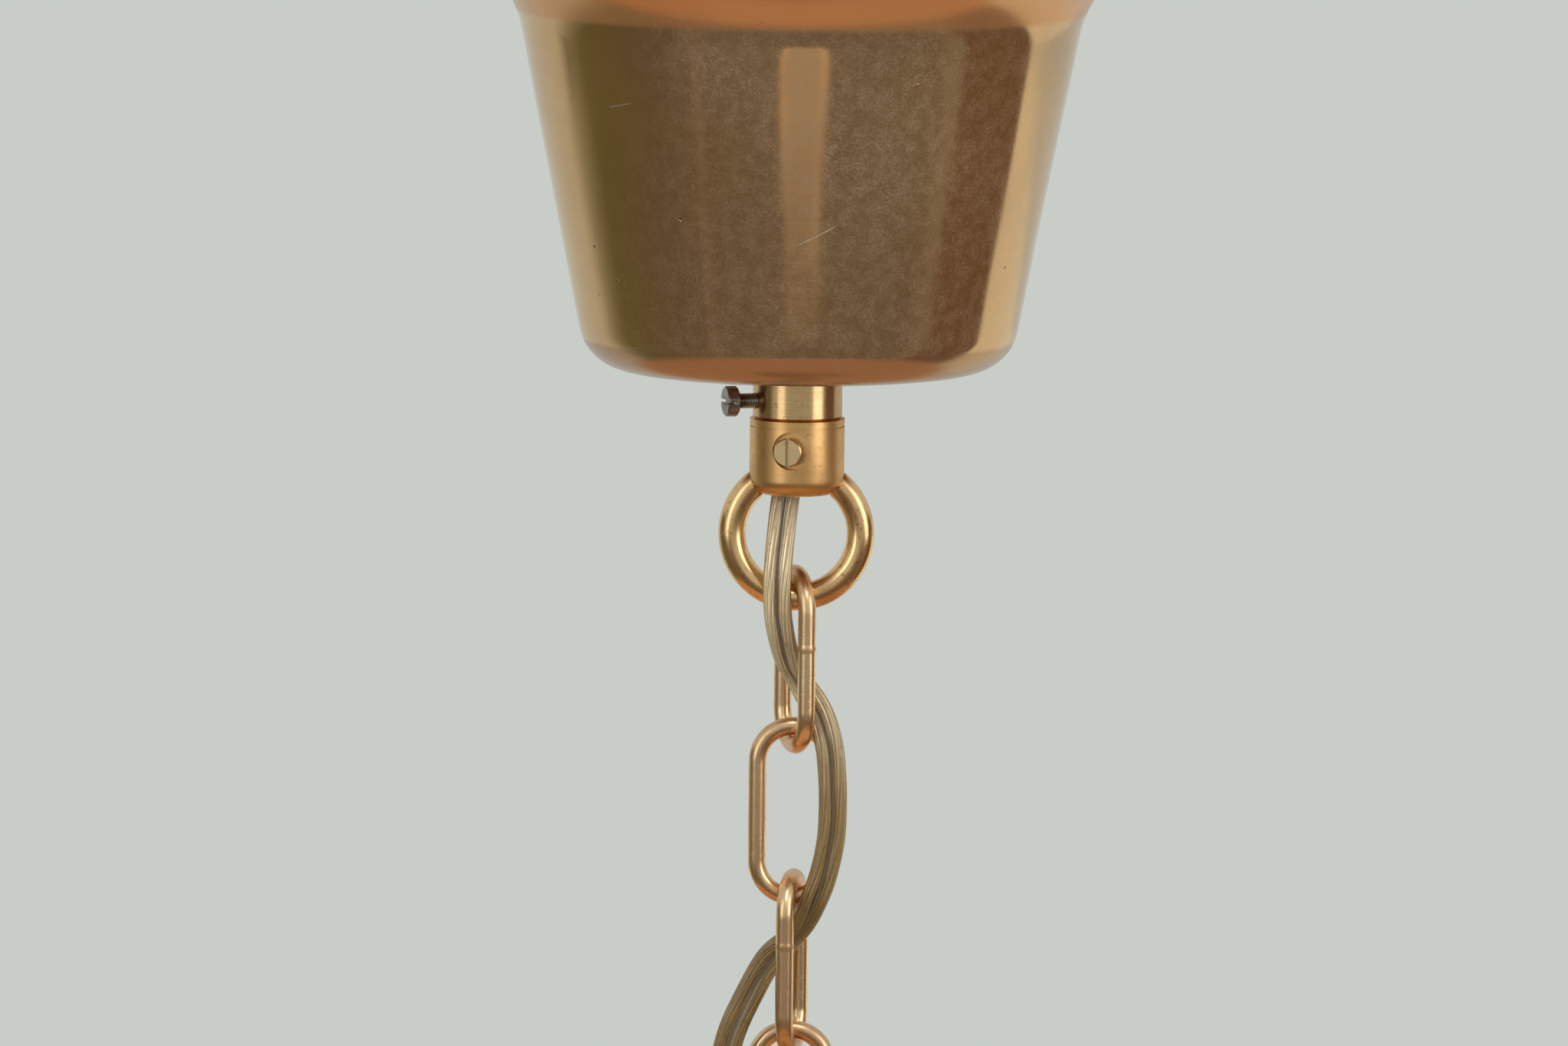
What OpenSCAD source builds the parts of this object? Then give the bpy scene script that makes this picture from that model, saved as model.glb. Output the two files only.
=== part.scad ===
// Pendant light: a spun brass canopy that slides on a stem, a chain with a flat twin flex
// woven through it, and a spun brass shade over a screw lampholder.
// Millimetres, +Z up. The origin is the centre of the strap's eye, where the ceiling hook goes.

/* [Hanging strap] */
// Radius of the eye that hangs on the ceiling hook
eye_r = 6; // [5:0.5:8]
// Thickness of the strap's steel strip
strap_t = 2.5; // [1.5:0.1:3]
// Width of the strip, front to back
strap_w = 12; // [8:0.5:16]
// Width between the strap's legs
window_w = 22; // [20:0.5:30]
// Height between the strap's shoulders and its base
window_h = 24; // [22:0.5:34]
// Outer radius of the strip's bends
strap_bend_r = 3; // [2:0.1:5]
// Gap where the two ends of the strip meet under the eye
seam_gap = 1.2; // [0.4:0.1:2]

/* [Stem] */
// Outer radius of the threaded stem
stem_r = 5; // [4:0.1:5.5]
// Bore radius of the stem
stem_bore_r = 3.9; // [3.6:0.1:3.9]
// Length of the stem
stem_len = 68; // [56:1:90]
// Length of stem standing above the upper nut
stem_proud = 1.5; // [0.5:0.1:4]
// Width across the flats of the stem's nuts
nut_af = 14; // [12:0.5:17]
// Height of the stem's nuts
nut_h = 3; // [2:0.1:5]
// Radius of the toothed washer
washer_r = 8.5; // [7:0.1:10]
// Thickness of the toothed washer
washer_t = 0.8; // [0.5:0.1:1.5]

/* [Terminal block] */
// Thickness of the block, away from the strap
block_t = 12; // [11:0.5:15]
// Width of the block, front to back
block_w = 20; // [18:0.5:26]
// Height of the block
block_h = 16; // [14:0.5:20]
// Distance from the eye's centre down to the block's middle
block_drop = 20; // [18:0.5:24]
// Distance between the two poles
pole_pitch = 10; // [9:0.5:12]
// Radius of the brass inserts
insert_r = 2.5; // [2.2:0.1:2.8]
// Bore radius of the inserts
insert_bore_r = 1.4; // [1.1:0.1:1.6]
// Distance between the two screws of one pole
pole_screw_pitch = 8; // [6:0.5:9]
// Radius of the terminal screws
pole_screw_r = 1.2; // [1:0.1:1.4]
// Radius of the block's fixing screw
block_screw_r = 1.5; // [1.2:0.1:1.5]

/* [Canopy] */
// Height of the canopy from the underside of its floor to its rim
canopy_h = 77.9; // [66:0.1:90]
// Radius of the flat of the canopy's floor
canopy_floor_r = 32.2; // [30:0.1:44]
// Outer radius of the bend between the floor and the side
canopy_bend_r = 9.5; // [3:0.1:12]
// Lean of the canopy's side from upright, in degrees
canopy_lean = 11.2; // [4:0.2:18]
// Radius of the rim's outward flare
canopy_flare_r = 20; // [10:1:28]
// Lean of the flare at the rim, in degrees
canopy_mouth_lean = 62; // [40:1:75]
// Thickness of the canopy's brass sheet
canopy_sheet = 1; // [0.6:0.1:1.4]
// Radius of the rolled bead on the canopy's rim
canopy_bead_r = 1.3; // [0.9:0.1:2]

/* [Stop collar] */
// Radius of the stop collar
collar_r = 8.5; // [7.5:0.1:10]
// Height of the stop collar
collar_h = 9.3; // [8:0.1:14]
// Radius of the clamping screw's thread
clamp_screw_r = 1.5; // [1.2:0.1:2]
// Radius of the clamping screw's head
clamp_head_r = 2.9; // [2.2:0.1:3.2]
// Height of the clamping screw's head
clamp_head_h = 2.3; // [1.5:0.1:3]
// Length of the clamping screw under its head
clamp_len = 7; // [6.2:0.1:10]
// Height of the clamping screw above the collar's lower face
clamp_up = 3.4; // [3.3:0.1:6]
// Direction of the clamping screw, in degrees from +X
clamp_turn = 197; // [150:1:240]

/* [Loop barrel and ring] */
// Radius of the barrel that joins the stem to the ring
barrel_r = 9; // [8.5:0.1:11]
// Height of the barrel
barrel_h = 14.4; // [14:0.1:20]
// Rounding of the barrel's edge on the ring's side
barrel_round = 3; // [1:0.1:3.4]
// Depth of the threaded bore in the barrel
barrel_grip = 8.6; // [8:0.1:9]
// Radius of the hollow under the bore, where the flex comes out
barrel_hollow_r = 6.5; // [5.6:0.1:6.6]
// Distance from the barrel's face to its locking screw
lock_down = 5.75; // [5:0.05:6]
// Direction of the upper locking screw, in degrees from +X
lock_turn = -102; // [-140:1:-60]
// Radius of the locking screw's thread
lock_screw_r = 1.5; // [1.2:0.1:1.8]
// Radius of the locking screw's head
lock_head_r = 2.7; // [2.4:0.05:3.2]
// Height of the locking screw's head
lock_head_h = 1.8; // [1.2:0.1:2.5]
// Radius of the flat recess round the locking screw
lock_recess_r = 3.6; // [3.4:0.1:4.4]
// Middle radius of the ring
ring_r = 12.2; // [11.8:0.1:14]
// Wire radius of the ring
ring_wire_r = 2.6; // [2.2:0.1:2.8]
// Distance from the barrel's face to the ring's centre
ring_drop = 22; // [21:0.1:24]

/* [Chain] */
// Length of a link over its ends
link_len = 36.2; // [32:0.2:44]
// Width of a link
link_w = 17.2; // [15:0.2:20]
// Wire radius of a link
link_wire_r = 1.7; // [1.2:0.1:2]

/* [Flex] */
// Width of the flat flex
flex_w = 5.4; // [4:0.1:5.6]
// Thickness of the flat flex
flex_t = 2.7; // [2:0.1:2.8]
// Radius of one insulated core where the cores part
core_r = 1.1; // [0.8:0.1:1.2]
// Radius of a core's bare copper end
copper_r = 0.6; // [0.4:0.1:0.7]

/* [Shade] */
// Length of the threaded nipple over the lampholder
nipple_len = 21; // [18:1:24]
// Radius of the washer over the shade
shade_washer_r = 11; // [9.5:0.5:13]
// Thickness of the washer over the shade
shade_washer_t = 2; // [1:0.1:3]
// Radius of the flat on the shade's top
shade_top_r = 15; // [15:0.5:20]
// Outer radius of the bend at the shade's top
shade_bend_r = 7; // [7:0.5:9]
// Lean of the shade's neck, in degrees
neck_lean = 6; // [3:0.5:12]
// Length of the straight part of the neck
neck_len = 22; // [18:1:30]
// Radius of the hollow curve under the neck
shade_flare_r = 40; // [30:1:50]
// Steepest lean of the shade, in degrees
shoulder_lean = 70; // [60:1:76]
// Radius of the full curve above the skirt
shade_round_r = 38; // [30:1:50]
// Lean of the skirt, in degrees
skirt_lean = 10; // [4:0.5:20]
// Length of the skirt
skirt_len = 16; // [8:1:30]
// Thickness of the shade's brass sheet
shade_sheet = 1; // [0.6:0.1:1.4]
// Radius of the rolled bead on the shade's rim
shade_bead_r = 1.5; // [0.9:0.1:2]

/* [Lampholder] */
// Thickness of the porcelain round the threaded sleeve
porcelain_wall = 2.5; // [2:0.1:3]
// Thickness of the casing's wall
holder_wall = 1.2; // [0.8:0.1:1.6]
// Radius of the neck that screws onto the nipple
holder_neck_r = 8; // [7:0.1:9]
// Height of the neck
holder_neck_h = 9; // [9:0.1:12]
// Height of the cap under the neck
holder_cap_h = 17; // [15:0.5:22]
// Length of the sleeve under the cap
holder_sleeve_h = 32; // [30:0.5:38]
// Inner radius of the threaded sleeve that takes the bulb
thread_r = 13.4; // [13.3:0.1:13.6]
// Thickness of the porcelain's floor
floor_t = 8; // [7:0.1:9]

/* [Bulb] */
// Radius of the bulb's screw cap
bulb_cap_r = 13.1; // [12.8:0.1:13.2]
// Length of the bulb's screw cap
bulb_cap_h = 19; // [17:0.5:22]
// Radius of the bulb's globe
globe_r = 22.5; // [20:0.5:28]
// Distance from the cap's lower edge to the globe's centre
globe_drop = 27; // [24:0.5:34]
// Thickness of the bulb's glass
glass_t = 0.8; // [0.5:0.1:1.2]

/* [Clearances] */
// Gap between flat faces that rest on each other
seat_gap = 0.05; // [0.02:0.01:0.1]
// Gap between the pieces that slide, turn or screw into each other
thread_gap = 0.05; // [0.03:0.01:0.1]
// Gap between the stem and what slides on it
slide_gap = 0.15; // [0.1:0.01:0.3]
// Gap between one wire and the next in the chain
link_gap = 0.2; // [0.1:0.05:0.4]

/* [Hidden] */
$fn = 72;

// Reach of a cut past the face that it opens
past = 1;
// Width and depth of a screwdriver slot as shares of the screw head
slot_w_share = 0.24;
slot_d_share = 0.45;
// Shares of a nut's height and of a screw head's height that their edges are bevelled over
nut_bevel_share = 0.15;
head_bevel_share = 0.12;
// Bevels on the edges of turned pieces and of thin ones
edge_bevel = 0.5;
thin_bevel = 0.2;
// Gap round a piece that drops into another
drop_gap = 0.2;

// Strap, from the eye down
bar_top = -eye_r;
window_top = bar_top - strap_t;
strap_floor = window_top - window_h;
strap_bottom = strap_floor - strap_t;
strap_half = window_w / 2 + strap_t;

// Terminal block, from its face on the strap's leg out
block_x = strap_half + seat_gap;
block_corner_r = 1.5;
pole_x = block_x + block_t / 2;
pole_ends = [for (y = [-1, 1]) for (z = [-1, 1])
    [y * pole_pitch / 2, z * pole_screw_pitch / 2 - block_drop]];
insert_inset = 0.5;
pole_head_r = pole_screw_r + 0.6;
pole_head_h = 1.4;
pole_head_stand = 0.8;
block_head_r = block_screw_r + 1.3;
block_head_h = 2;
block_head_seat = block_x + block_t - 3.5;
block_nut_af = 5.5;
block_nut_h = 2.4;
// Length of the block's screw beyond its nut, and of bare wire under the block
block_screw_proud = 1.5;
wire_bare = 0.25;

// Stem, from its upper nut down
upper_nut_z = strap_floor + seat_gap;
stem_top = upper_nut_z + nut_h + stem_proud;
stem_bottom = stem_top - stem_len;
washer_top = strap_bottom - seat_gap;
lower_nut_top = washer_top - washer_t - seat_gap;

// Barrel, collar and canopy, from the stem's lower end up
barrel_top = stem_bottom + barrel_grip;
collar_z = barrel_top + seat_gap;
canopy_z = collar_z + collar_h + seat_gap;

// Ring and chain, from the barrel down
ring_z = barrel_top - ring_drop;
ring_low = ring_z - ring_r;
link_mid_r = link_w / 2 - link_wire_r;
link_reach = link_len - 2 * link_wire_r;
link_pitch = link_reach - 2 * link_wire_r - link_gap;
link_turns = [-71, 0, -101.7, 0, -82, 0, -97];
link_count = len(link_turns);
first_link_z = ring_low + ring_wire_r + link_wire_r + link_gap;
last_link_low = first_link_z - (link_count - 1) * link_pitch - link_reach;
lower_ring_high = last_link_low + link_wire_r + ring_wire_r + link_gap;
lower_ring_z = lower_ring_high - ring_r;
lamp_z = lower_ring_z - ring_drop;

// Locking screw's seat, measured from the barrel's axis, and the depth of its recess at the edge
lock_recess_d = 1.1;
lock_seat = sqrt(pow(barrel_r, 2) - pow(lock_recess_r, 2)) - lock_recess_d;
lower_lock_turn = -60;
// The recess is spot-faced a little off the screw, sideways and towards the barrel's face
lock_recess_aside = 0.7;
lock_recess_up = 0.3;
// Fine groove round the barrel, and its distance from the barrel's face
groove = 0.3;
groove_down = 1.5;
// Openings at the top of a ring and of its socket, in degrees each way
ring_open = 28;
socket_open = 26;
// Angle over which a bead runs into its sheet
bead_lap = 4;

// Shade and lampholder, from the lower barrel down
shade_z = lamp_z - shade_washer_t - 2 * seat_gap;
holder_z = shade_z - shade_sheet - seat_gap;
nipple_top = lamp_z + barrel_grip;
dome_r = 8.5;
lap = 6;
holder_space = 8;
porcelain_top = holder_neck_h + holder_space;
floor_low = porcelain_top + floor_t;
cap_low = holder_neck_h + holder_cap_h;
sleeve_low = cap_low + holder_sleeve_h;
lip_in = thread_r + 2.2;
thread_wall = 0.9;
thread_h = 24;
porcelain_r = thread_r + thread_wall + thread_gap + porcelain_wall;
holder_r = porcelain_r + drop_gap + 2 * holder_wall;
contact_t = 0.5;
contact_w = 5;
contact_rise = 1.6;
// Ends of the contact's foot and corners of its tongue, from the axis
contact_foot = [-11, -6];
contact_tongue = [-2, 3, 5];

// Screws on the porcelain: their distance from the axis, their shanks, heads and plates
holder_pole_x = 9;
pole_bolt_r = 1.4;
pole_bolt_len = 5;
pole_bolt_head_r = 3;
pole_bolt_head_h = 1.8;
plate_t = 0.8;
plate_w = 7;
plate_l = 8;
// Start, side and length of the bare wires that the screws hold down
low_wire = [5.1, -2.2];
low_wire_len = 6;

// Bulb, from its contact down, measured from the top of the lampholder
bulb_touch_gap = 0.3;
bulb_top = floor_low + contact_rise + contact_t + bulb_touch_gap;
bulb_contact_r = 4.2;
bulb_contact_h = 0.9;
insulator_top_r = 6;
insulator_slope = 2.7;
insulator_h = 4.5;
bulb_cap_top = bulb_top + bulb_contact_h + 2.5;
bulb_cap_low = bulb_cap_top + bulb_cap_h;
globe_z = bulb_cap_low + globe_drop;
bulb_cap_wall = 0.5;
bulb_neck_r = bulb_cap_r - bulb_cap_wall - drop_gap;
// Upper edge of the glass inside the cap, and the glass stem's height above it
glass_top = bulb_cap_top + 5.5;
glass_stem_h = 30;
// Glass stem's dip, rim, shoulder and pinch: their heights, then its radii at the last two and the tip
stem_dip = 2;
stem_rim = 1;
stem_shoulder = 6;
stem_pinch = 10;
stem_radii = [4, 3, 1.6];
// Filament and its wires: their radii, the wires' reach from the axis at both ends, and the
// filament's depth under the globe's centre
filament_r = 0.55;
filament_wire_r = 0.35;
filament_near = 1.1;
filament_span = 9;
filament_drop = 2;

// Route of the flex from the terminal block's leads to the lampholder
flex_route = [[0, 0, -25], [0, 0, -34], [0, 0, -46], [0, 0, -58], [0, 0, -70], [0, 0, -82],
    [-0.3, 0, -90], [-0.9, 0, -96], [-2.1, -0.3, -102.5], [-2.9, -2.6, -109.5], [-3.4, -4.7, -116],
    [-3.5, -4.9, -121], [-3, -4.5, -126.5], [-1.4, -3, -133], [1.6, -1.2, -138.5],
    [4.8, -2.9, -143.5], [6.6, -4, -149], [7.3, -4.1, -155], [7.5, -4.1, -161], [7.2, -4.1, -167.5],
    [5.9, -4.1, -174], [4.2, -3.8, -179], [2, -1.8, -184], [-1.2, -0.4, -188], [-4.6, -1, -191.5],
    [-8, -2.6, -197.5], [-11.2, -3.6, -204.5], [-12.8, -3.7, -211.5], [-12.8, -3.7, -219],
    [-11, -3.7, -227], [-7.9, -3.8, -234.5], [-5.6, -3.4, -239.5], [-2.9, -1.3, -244.5],
    [0.2, -0.4, -249], [3.9, -1.2, -254], [7.4, -3.5, -260.5], [9.3, -4, -268], [10, -4, -276],
    [9.2, -4, -284], [7.6, -3.9, -290], [5.6, -3.7, -295], [3.4, -2, -299.5], [0.4, -0.5, -304],
    [-2.6, -1.7, -309], [-4.3, -3.9, -314.5], [-5.3, -4.5, -320.5], [-5.1, -4.4, -325.5],
    [-3.9, -2.6, -331.5], [-2.6, -0.9, -336.5], [-1.7, -0.2, -341], [-0.7, 0, -346.5],
    [0, 0, -352], [0, 0, -360], [0, 0, -368.3]];
// Lay of the flex along the same points, in degrees that its flat turns away from the front
flex_lay = [0, 0, 0, 0, 0, 0, 0, 0, 0, 4, 8, 10, 14, 24, 30, 14, 4, 0, -2, -4, -6, -10, -22, -26,
    -14, -6, 0, 2, 4, 2, 0, 6, 16, 18, 12, 4, 0, -2, -4, -6, -10, -20, -24, -16, -6, 0, 0, 0, 0, 0,
    0, 0, 0, 0];
// Sides of the flex's section
flex_sides = 10;
// Route of one core from the flex to the terminal block, and of the other behind it
lead_front = [[1.35, 0, -24.6], [1.6, -0.6, -22.2], [2.6, -4, -19.8], [5.8, -8.6, -20.6],
    [9.8, -10.6, -25], [14.2, -10, -31], [18, -6.8, -34], [19.4, -5.1, -31.6], [19.5, -5, -28.5]];
lead_back = [[-1.35, 0, -24.6], [-1.4, 0.6, -22], [0, 4.2, -19.4], [4.2, 8.6, -20.4],
    [9.4, 10.6, -25], [14.2, 10, -31], [18, 6.8, -34], [19.4, 5.1, -31.6], [19.5, 5, -28.5]];
// Route of the right-hand core in the lampholder, from the lampholder's top
lead_low = [[1.35, 0, -11.1], [1.6, -0.3, -12.6], [2.6, -1.6, -14.6], [3.7, -2.2, -15.4],
    [4.8, -2.2, -15.6]];
lead_sides = 8;

// Points of an arc about c
function arc(c, r, from, to, steps) =
    [for (i = [0 : steps]) let (a = from + (to - from) * i / steps) c + r * [cos(a), sin(a)]];

// Angle at which a bead of radius r, flush with the inner face of its sheet, leaves the outer face
function bead_start(r, sheet) = acos(sheet / r - 1);

// Unit vector along v
function unit(v) = v / norm(v);

// Point at share t between route points i and i + 1, on a smooth curve through them
function route_at(p, i, t) = let (
    n = len(p) - 1,
    a = p[max(i - 1, 0)],
    b = p[i],
    c = p[min(i + 1, n)],
    d = p[min(i + 2, n)])
    b + 0.5 * t * ((c - a) + t * ((2 * a - 5 * b + 4 * c - d) + t * (3 * (b - c) + d - a)));

// Route with one more point between each two
function smooth(p) = [for (i = [0 : 2 * len(p) - 2]) route_at(p, floor(i / 2), (i % 2) / 2)];

// Direction of the route at point i
function along(p, i) = unit(p[min(i + 1, len(p) - 1)] - p[max(i - 1, 0)]);

// Ring of a tube's points about a route point: its section is as wide as w and as thick as t
function section(p, dir, w, t, lay, sides) = let (
    side_x = unit([1, 0, 0] - ([1, 0, 0] * dir) * dir),
    side_y = cross(dir, side_x),
    flat = (w - t) / 2)
    [for (k = [0 : sides - 1]) let (
        a = 360 * (k + 0.5) / sides,
        u = t / 2 * cos(a) + flat * sign(cos(a)),
        v = t / 2 * sin(a))
        p + (u * cos(lay) - v * sin(lay)) * side_x + (u * sin(lay) + v * cos(lay)) * side_y];

// Tube along a route
module tube(route, w, t, lays, sides) {
    rings = [for (i = [0 : len(route) - 1]) section(route[i], along(route, i), w, t, lays[i], sides)];
    last = (len(route) - 1) * sides;
    polyhedron(
        points = [for (ring = rings) for (p = ring) p],
        faces = concat(
            [[for (k = [0 : sides - 1]) k]],
            [[for (k = [sides - 1 : -1 : 0]) last + k]],
            [for (i = [0 : len(route) - 2]) for (k = [0 : sides - 1]) let (
                a = i * sides + k,
                b = i * sides + (k + 1) % sides)
                [a, a + sides, b + sides]],
            [for (i = [0 : len(route) - 2]) for (k = [0 : sides - 1]) let (
                a = i * sides + k,
                b = i * sides + (k + 1) % sides)
                [a, b + sides, b]]));
}

module round_tube(route, r) {
    smooth_route = smooth(route);
    tube(smooth_route, 2 * r, 2 * r, [for (p = smooth_route) 0], lead_sides);
}

// Rectangle with round corners between two corner points
module rounded_box(low, high, r) {
    translate(low + [r, 0]) square([high[0] - low[0] - 2 * r, high[1] - low[1]]);
    translate(low + [0, r]) square([high[0] - low[0], high[1] - low[1] - 2 * r]);
    for (x = [low[0] + r, high[0] - r]) {
        for (y = [low[1] + r, high[1] - r]) {
            translate([x, y]) circle(r);
        }
    }
}

// Turned tube with bevelled outer edges
module turned(r, bore, h, bevel) {
    rotate_extrude()
        polygon([[bore, 0], [r - bevel, 0], [r, bevel], [r, h - bevel], [r - bevel, h], [bore, h]]);
}

// Hexagon nut with bevelled corners, standing on z = 0
module hex_nut(af, h, bore) {
    corner = af / 2 / cos(30);
    bevel = h * nut_bevel_share;
    difference() {
        intersection() {
            cylinder(r = corner, h = h, $fn = 6);
            turned(corner, 0, h, bevel);
        }
        translate([0, 0, -past]) cylinder(r = bore, h = h + 2 * past);
    }
}

// Slotted screw along +X from its tip at x = tip to the top of its head
module slotted_screw(r, len, head_r, head_h, tip) {
    slot_d = head_h * slot_d_share;
    translate([tip, 0, 0]) rotate([0, 90, 0]) difference() {
        union() {
            cylinder(r = r, h = len + head_h / 2);
            translate([0, 0, len]) turned(head_r, 0, head_h, head_h * head_bevel_share);
        }
        translate([-head_r - past, -head_r * slot_w_share / 2, len + head_h - slot_d])
            cube([2 * (head_r + past), head_r * slot_w_share, slot_d + past]);
    }
}

module hook_strap() {
    color("dimgray") difference() {
        rotate([90, 0, 0]) linear_extrude(strap_w, center = true) difference() {
            union() {
                circle(eye_r + strap_t);
                rounded_box([-strap_half, strap_bottom], [strap_half, bar_top], strap_bend_r);
            }
            circle(eye_r);
            translate([-window_w / 2, strap_floor]) square([window_w, window_h]);
            translate([-seam_gap / 2, window_top - past]) square([seam_gap, strap_t + 2 * past]);
        }
        translate([0, 0, strap_bottom - past]) cylinder(r = stem_r + thread_gap, h = strap_t + 2 * past);
        translate([0, 0, -block_drop]) rotate([0, 90, 0])
            cylinder(r = block_screw_r + thread_gap, h = strap_half + past);
    }
}

module stem_tube() {
    color("goldenrod") translate([0, 0, stem_bottom]) turned(stem_r, stem_bore_r, stem_len, edge_bevel);
}

module stem_nuts() {
    color("goldenrod") {
        translate([0, 0, upper_nut_z]) hex_nut(nut_af, nut_h, stem_r + thread_gap);
        translate([0, 0, lower_nut_top - nut_h]) hex_nut(nut_af, nut_h, stem_r + thread_gap);
    }
}

module lock_washer() {
    teeth = 12;
    tooth_gap = washer_r * 0.2;
    color("silver") translate([0, 0, washer_top - washer_t]) difference() {
        cylinder(r = washer_r, h = washer_t);
        translate([0, 0, -past]) cylinder(r = stem_r + thread_gap, h = washer_t + 2 * past);
        for (i = [0 : teeth - 1]) {
            rotate([0, 0, 360 * i / teeth]) translate([washer_r - 1, -tooth_gap / 2, -past])
                cube([1 + past, tooth_gap, washer_t + 2 * past]);
        }
    }
}

module terminal_block() {
    color("ivory") difference() {
        translate([block_x, 0, -block_drop]) rotate([0, 90, 0]) linear_extrude(block_t)
            rounded_box([-block_h / 2, -block_w / 2], [block_h / 2, block_w / 2], block_corner_r);
        for (y = [-pole_pitch / 2, pole_pitch / 2]) {
            translate([pole_x, y, -block_drop - block_h / 2 - past])
                cylinder(r = insert_r + thread_gap, h = block_h + 2 * past);
        }
        for (end = pole_ends) {
            translate([pole_x, end[0], end[1]]) rotate([0, 90, 0])
                cylinder(r = pole_head_r + thread_gap, h = block_t);
        }
        translate([block_x - past, 0, -block_drop]) rotate([0, 90, 0])
            cylinder(r = block_screw_r + thread_gap, h = block_t + 2 * past);
        translate([block_head_seat, 0, -block_drop]) rotate([0, 90, 0])
            cylinder(r = block_head_r + thread_gap, h = block_t);
    }
}

module terminal_inserts() {
    color("goldenrod") difference() {
        for (y = [-pole_pitch / 2, pole_pitch / 2]) {
            translate([pole_x, y, -block_drop - block_h / 2 + insert_inset])
                cylinder(r = insert_r, h = block_h - 2 * insert_inset);
        }
        for (y = [-pole_pitch / 2, pole_pitch / 2]) {
            translate([pole_x, y, -block_drop - block_h / 2 - past])
                cylinder(r = insert_bore_r, h = block_h + 2 * past);
        }
        for (end = pole_ends) {
            translate([pole_x, end[0], end[1]]) rotate([0, 90, 0])
                cylinder(r = pole_screw_r + thread_gap, h = insert_r + past);
        }
    }
}

module terminal_screws() {
    tip = pole_x + copper_r + thread_gap;
    color("goldenrod") for (end = pole_ends) {
        translate([0, end[0], end[1]])
            slotted_screw(pole_screw_r, insert_r + pole_head_stand - copper_r, pole_head_r,
                pole_head_h, tip);
    }
}

module block_screw() {
    tip = window_w / 2 - block_nut_h - block_screw_proud;
    color("silver") translate([0, 0, -block_drop])
        slotted_screw(block_screw_r, block_head_seat + seat_gap - tip, block_head_r, block_head_h, tip);
}

module block_nut() {
    color("silver") translate([window_w / 2 - seat_gap - block_nut_h, 0, -block_drop])
        rotate([0, 90, 0]) hex_nut(block_nut_af, block_nut_h, block_screw_r + thread_gap);
}

module upper_leads() {
    color("khaki") {
        round_tube(lead_front, core_r);
        round_tube(lead_back, core_r);
    }
}

module upper_wire_ends() {
    color("chocolate") for (y = [-pole_pitch / 2, pole_pitch / 2]) {
        translate([pole_x, y, -block_drop - block_h / 2 - wire_bare])
            cylinder(r = copper_r, h = block_h / 2);
    }
}

module flex() {
    color("khaki") tube(flex_route, flex_w, flex_t, flex_lay, flex_sides);
}

// Ring's wire about the centre of the ring, with the opening at its top given in degrees each way
module ring_wire(r, open) {
    rotate([90, 0, 0]) rotate([0, 0, 90 + open]) rotate_extrude(angle = 360 - 2 * open)
        translate([ring_r, 0]) circle(r);
}

// Ring, with the barrel's face at z = 0 and the ring under it
module ring() {
    difference() {
        translate([0, 0, -ring_drop]) ring_wire(ring_wire_r, ring_open);
        translate([0, 0, -barrel_h - past]) cylinder(r = barrel_hollow_r, h = barrel_h + 2 * past);
    }
}

// Barrel, with its face at z = 0 and its hollow end under it
module barrel(screw_turn) {
    difference() {
        rotate_extrude() difference() {
            union() {
                translate([0, barrel_round - barrel_h]) square([barrel_r, barrel_h - barrel_round]);
                translate([0, -barrel_h]) square([barrel_r - barrel_round, barrel_round + past]);
                translate([barrel_r - barrel_round, barrel_round - barrel_h]) circle(barrel_round);
            }
            translate([barrel_r - groove, -groove_down]) square([groove + past, groove]);
        }
        translate([0, 0, -barrel_grip]) cylinder(r = stem_r + thread_gap, h = barrel_grip + past);
        translate([0, 0, -barrel_h - past])
            cylinder(r = barrel_hollow_r, h = barrel_h - barrel_grip + past);
        rotate([0, 0, screw_turn]) translate([lock_seat, lock_recess_aside, lock_recess_up - lock_down])
            rotate([0, 90, 0]) cylinder(r = lock_recess_r, h = barrel_r);
        rotate([0, 0, screw_turn]) translate([0, 0, -lock_down]) rotate([0, 90, 0])
            cylinder(r = lock_screw_r + thread_gap, h = barrel_r);
        translate([0, 0, -ring_drop]) ring_wire(ring_wire_r + thread_gap, socket_open);
    }
}

// Locking screw, in the same place as the barrel's
module locking_screw(screw_turn) {
    tip = stem_r + thread_gap;
    rotate([0, 0, screw_turn]) translate([0, 0, -lock_down])
        slotted_screw(lock_screw_r, lock_seat + seat_gap - tip, lock_head_r, lock_head_h, tip);
}

module loop_barrel() {
    color("goldenrod") translate([0, 0, barrel_top]) barrel(lock_turn);
}

module barrel_screw() {
    color("gold") translate([0, 0, barrel_top]) locking_screw(lock_turn);
}

module loop_ring() {
    color("goldenrod") translate([0, 0, barrel_top]) ring();
}

module stop_collar() {
    color("goldenrod") translate([0, 0, collar_z]) difference() {
        turned(collar_r, stem_r + slide_gap, collar_h, edge_bevel);
        translate([0, 0, clamp_up]) rotate([0, 0, clamp_turn]) rotate([0, 90, 0])
            cylinder(r = clamp_screw_r + thread_gap, h = collar_r + past);
    }
}

module clamp_screw() {
    color("dimgray") translate([0, 0, collar_z + clamp_up]) rotate([0, 0, clamp_turn])
        slotted_screw(clamp_screw_r, clamp_len, clamp_head_r, clamp_head_h, stem_r + thread_gap);
}

// Canopy's outline: the flare's centre, then both faces of the sheet
canopy_side = (canopy_h - canopy_bend_r * (1 - sin(canopy_lean))
    - canopy_flare_r * (sin(canopy_mouth_lean) - sin(canopy_lean))) / cos(canopy_lean);
canopy_bend_c = [canopy_floor_r, canopy_bend_r];
canopy_flare_c = canopy_bend_c + canopy_side * [sin(canopy_lean), cos(canopy_lean)]
    + (canopy_bend_r + canopy_flare_r) * [cos(canopy_lean), -sin(canopy_lean)];
canopy_hole_r = stem_r + 2 * slide_gap;
canopy_bead_turn = 180 - canopy_mouth_lean + bead_lap;

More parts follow.
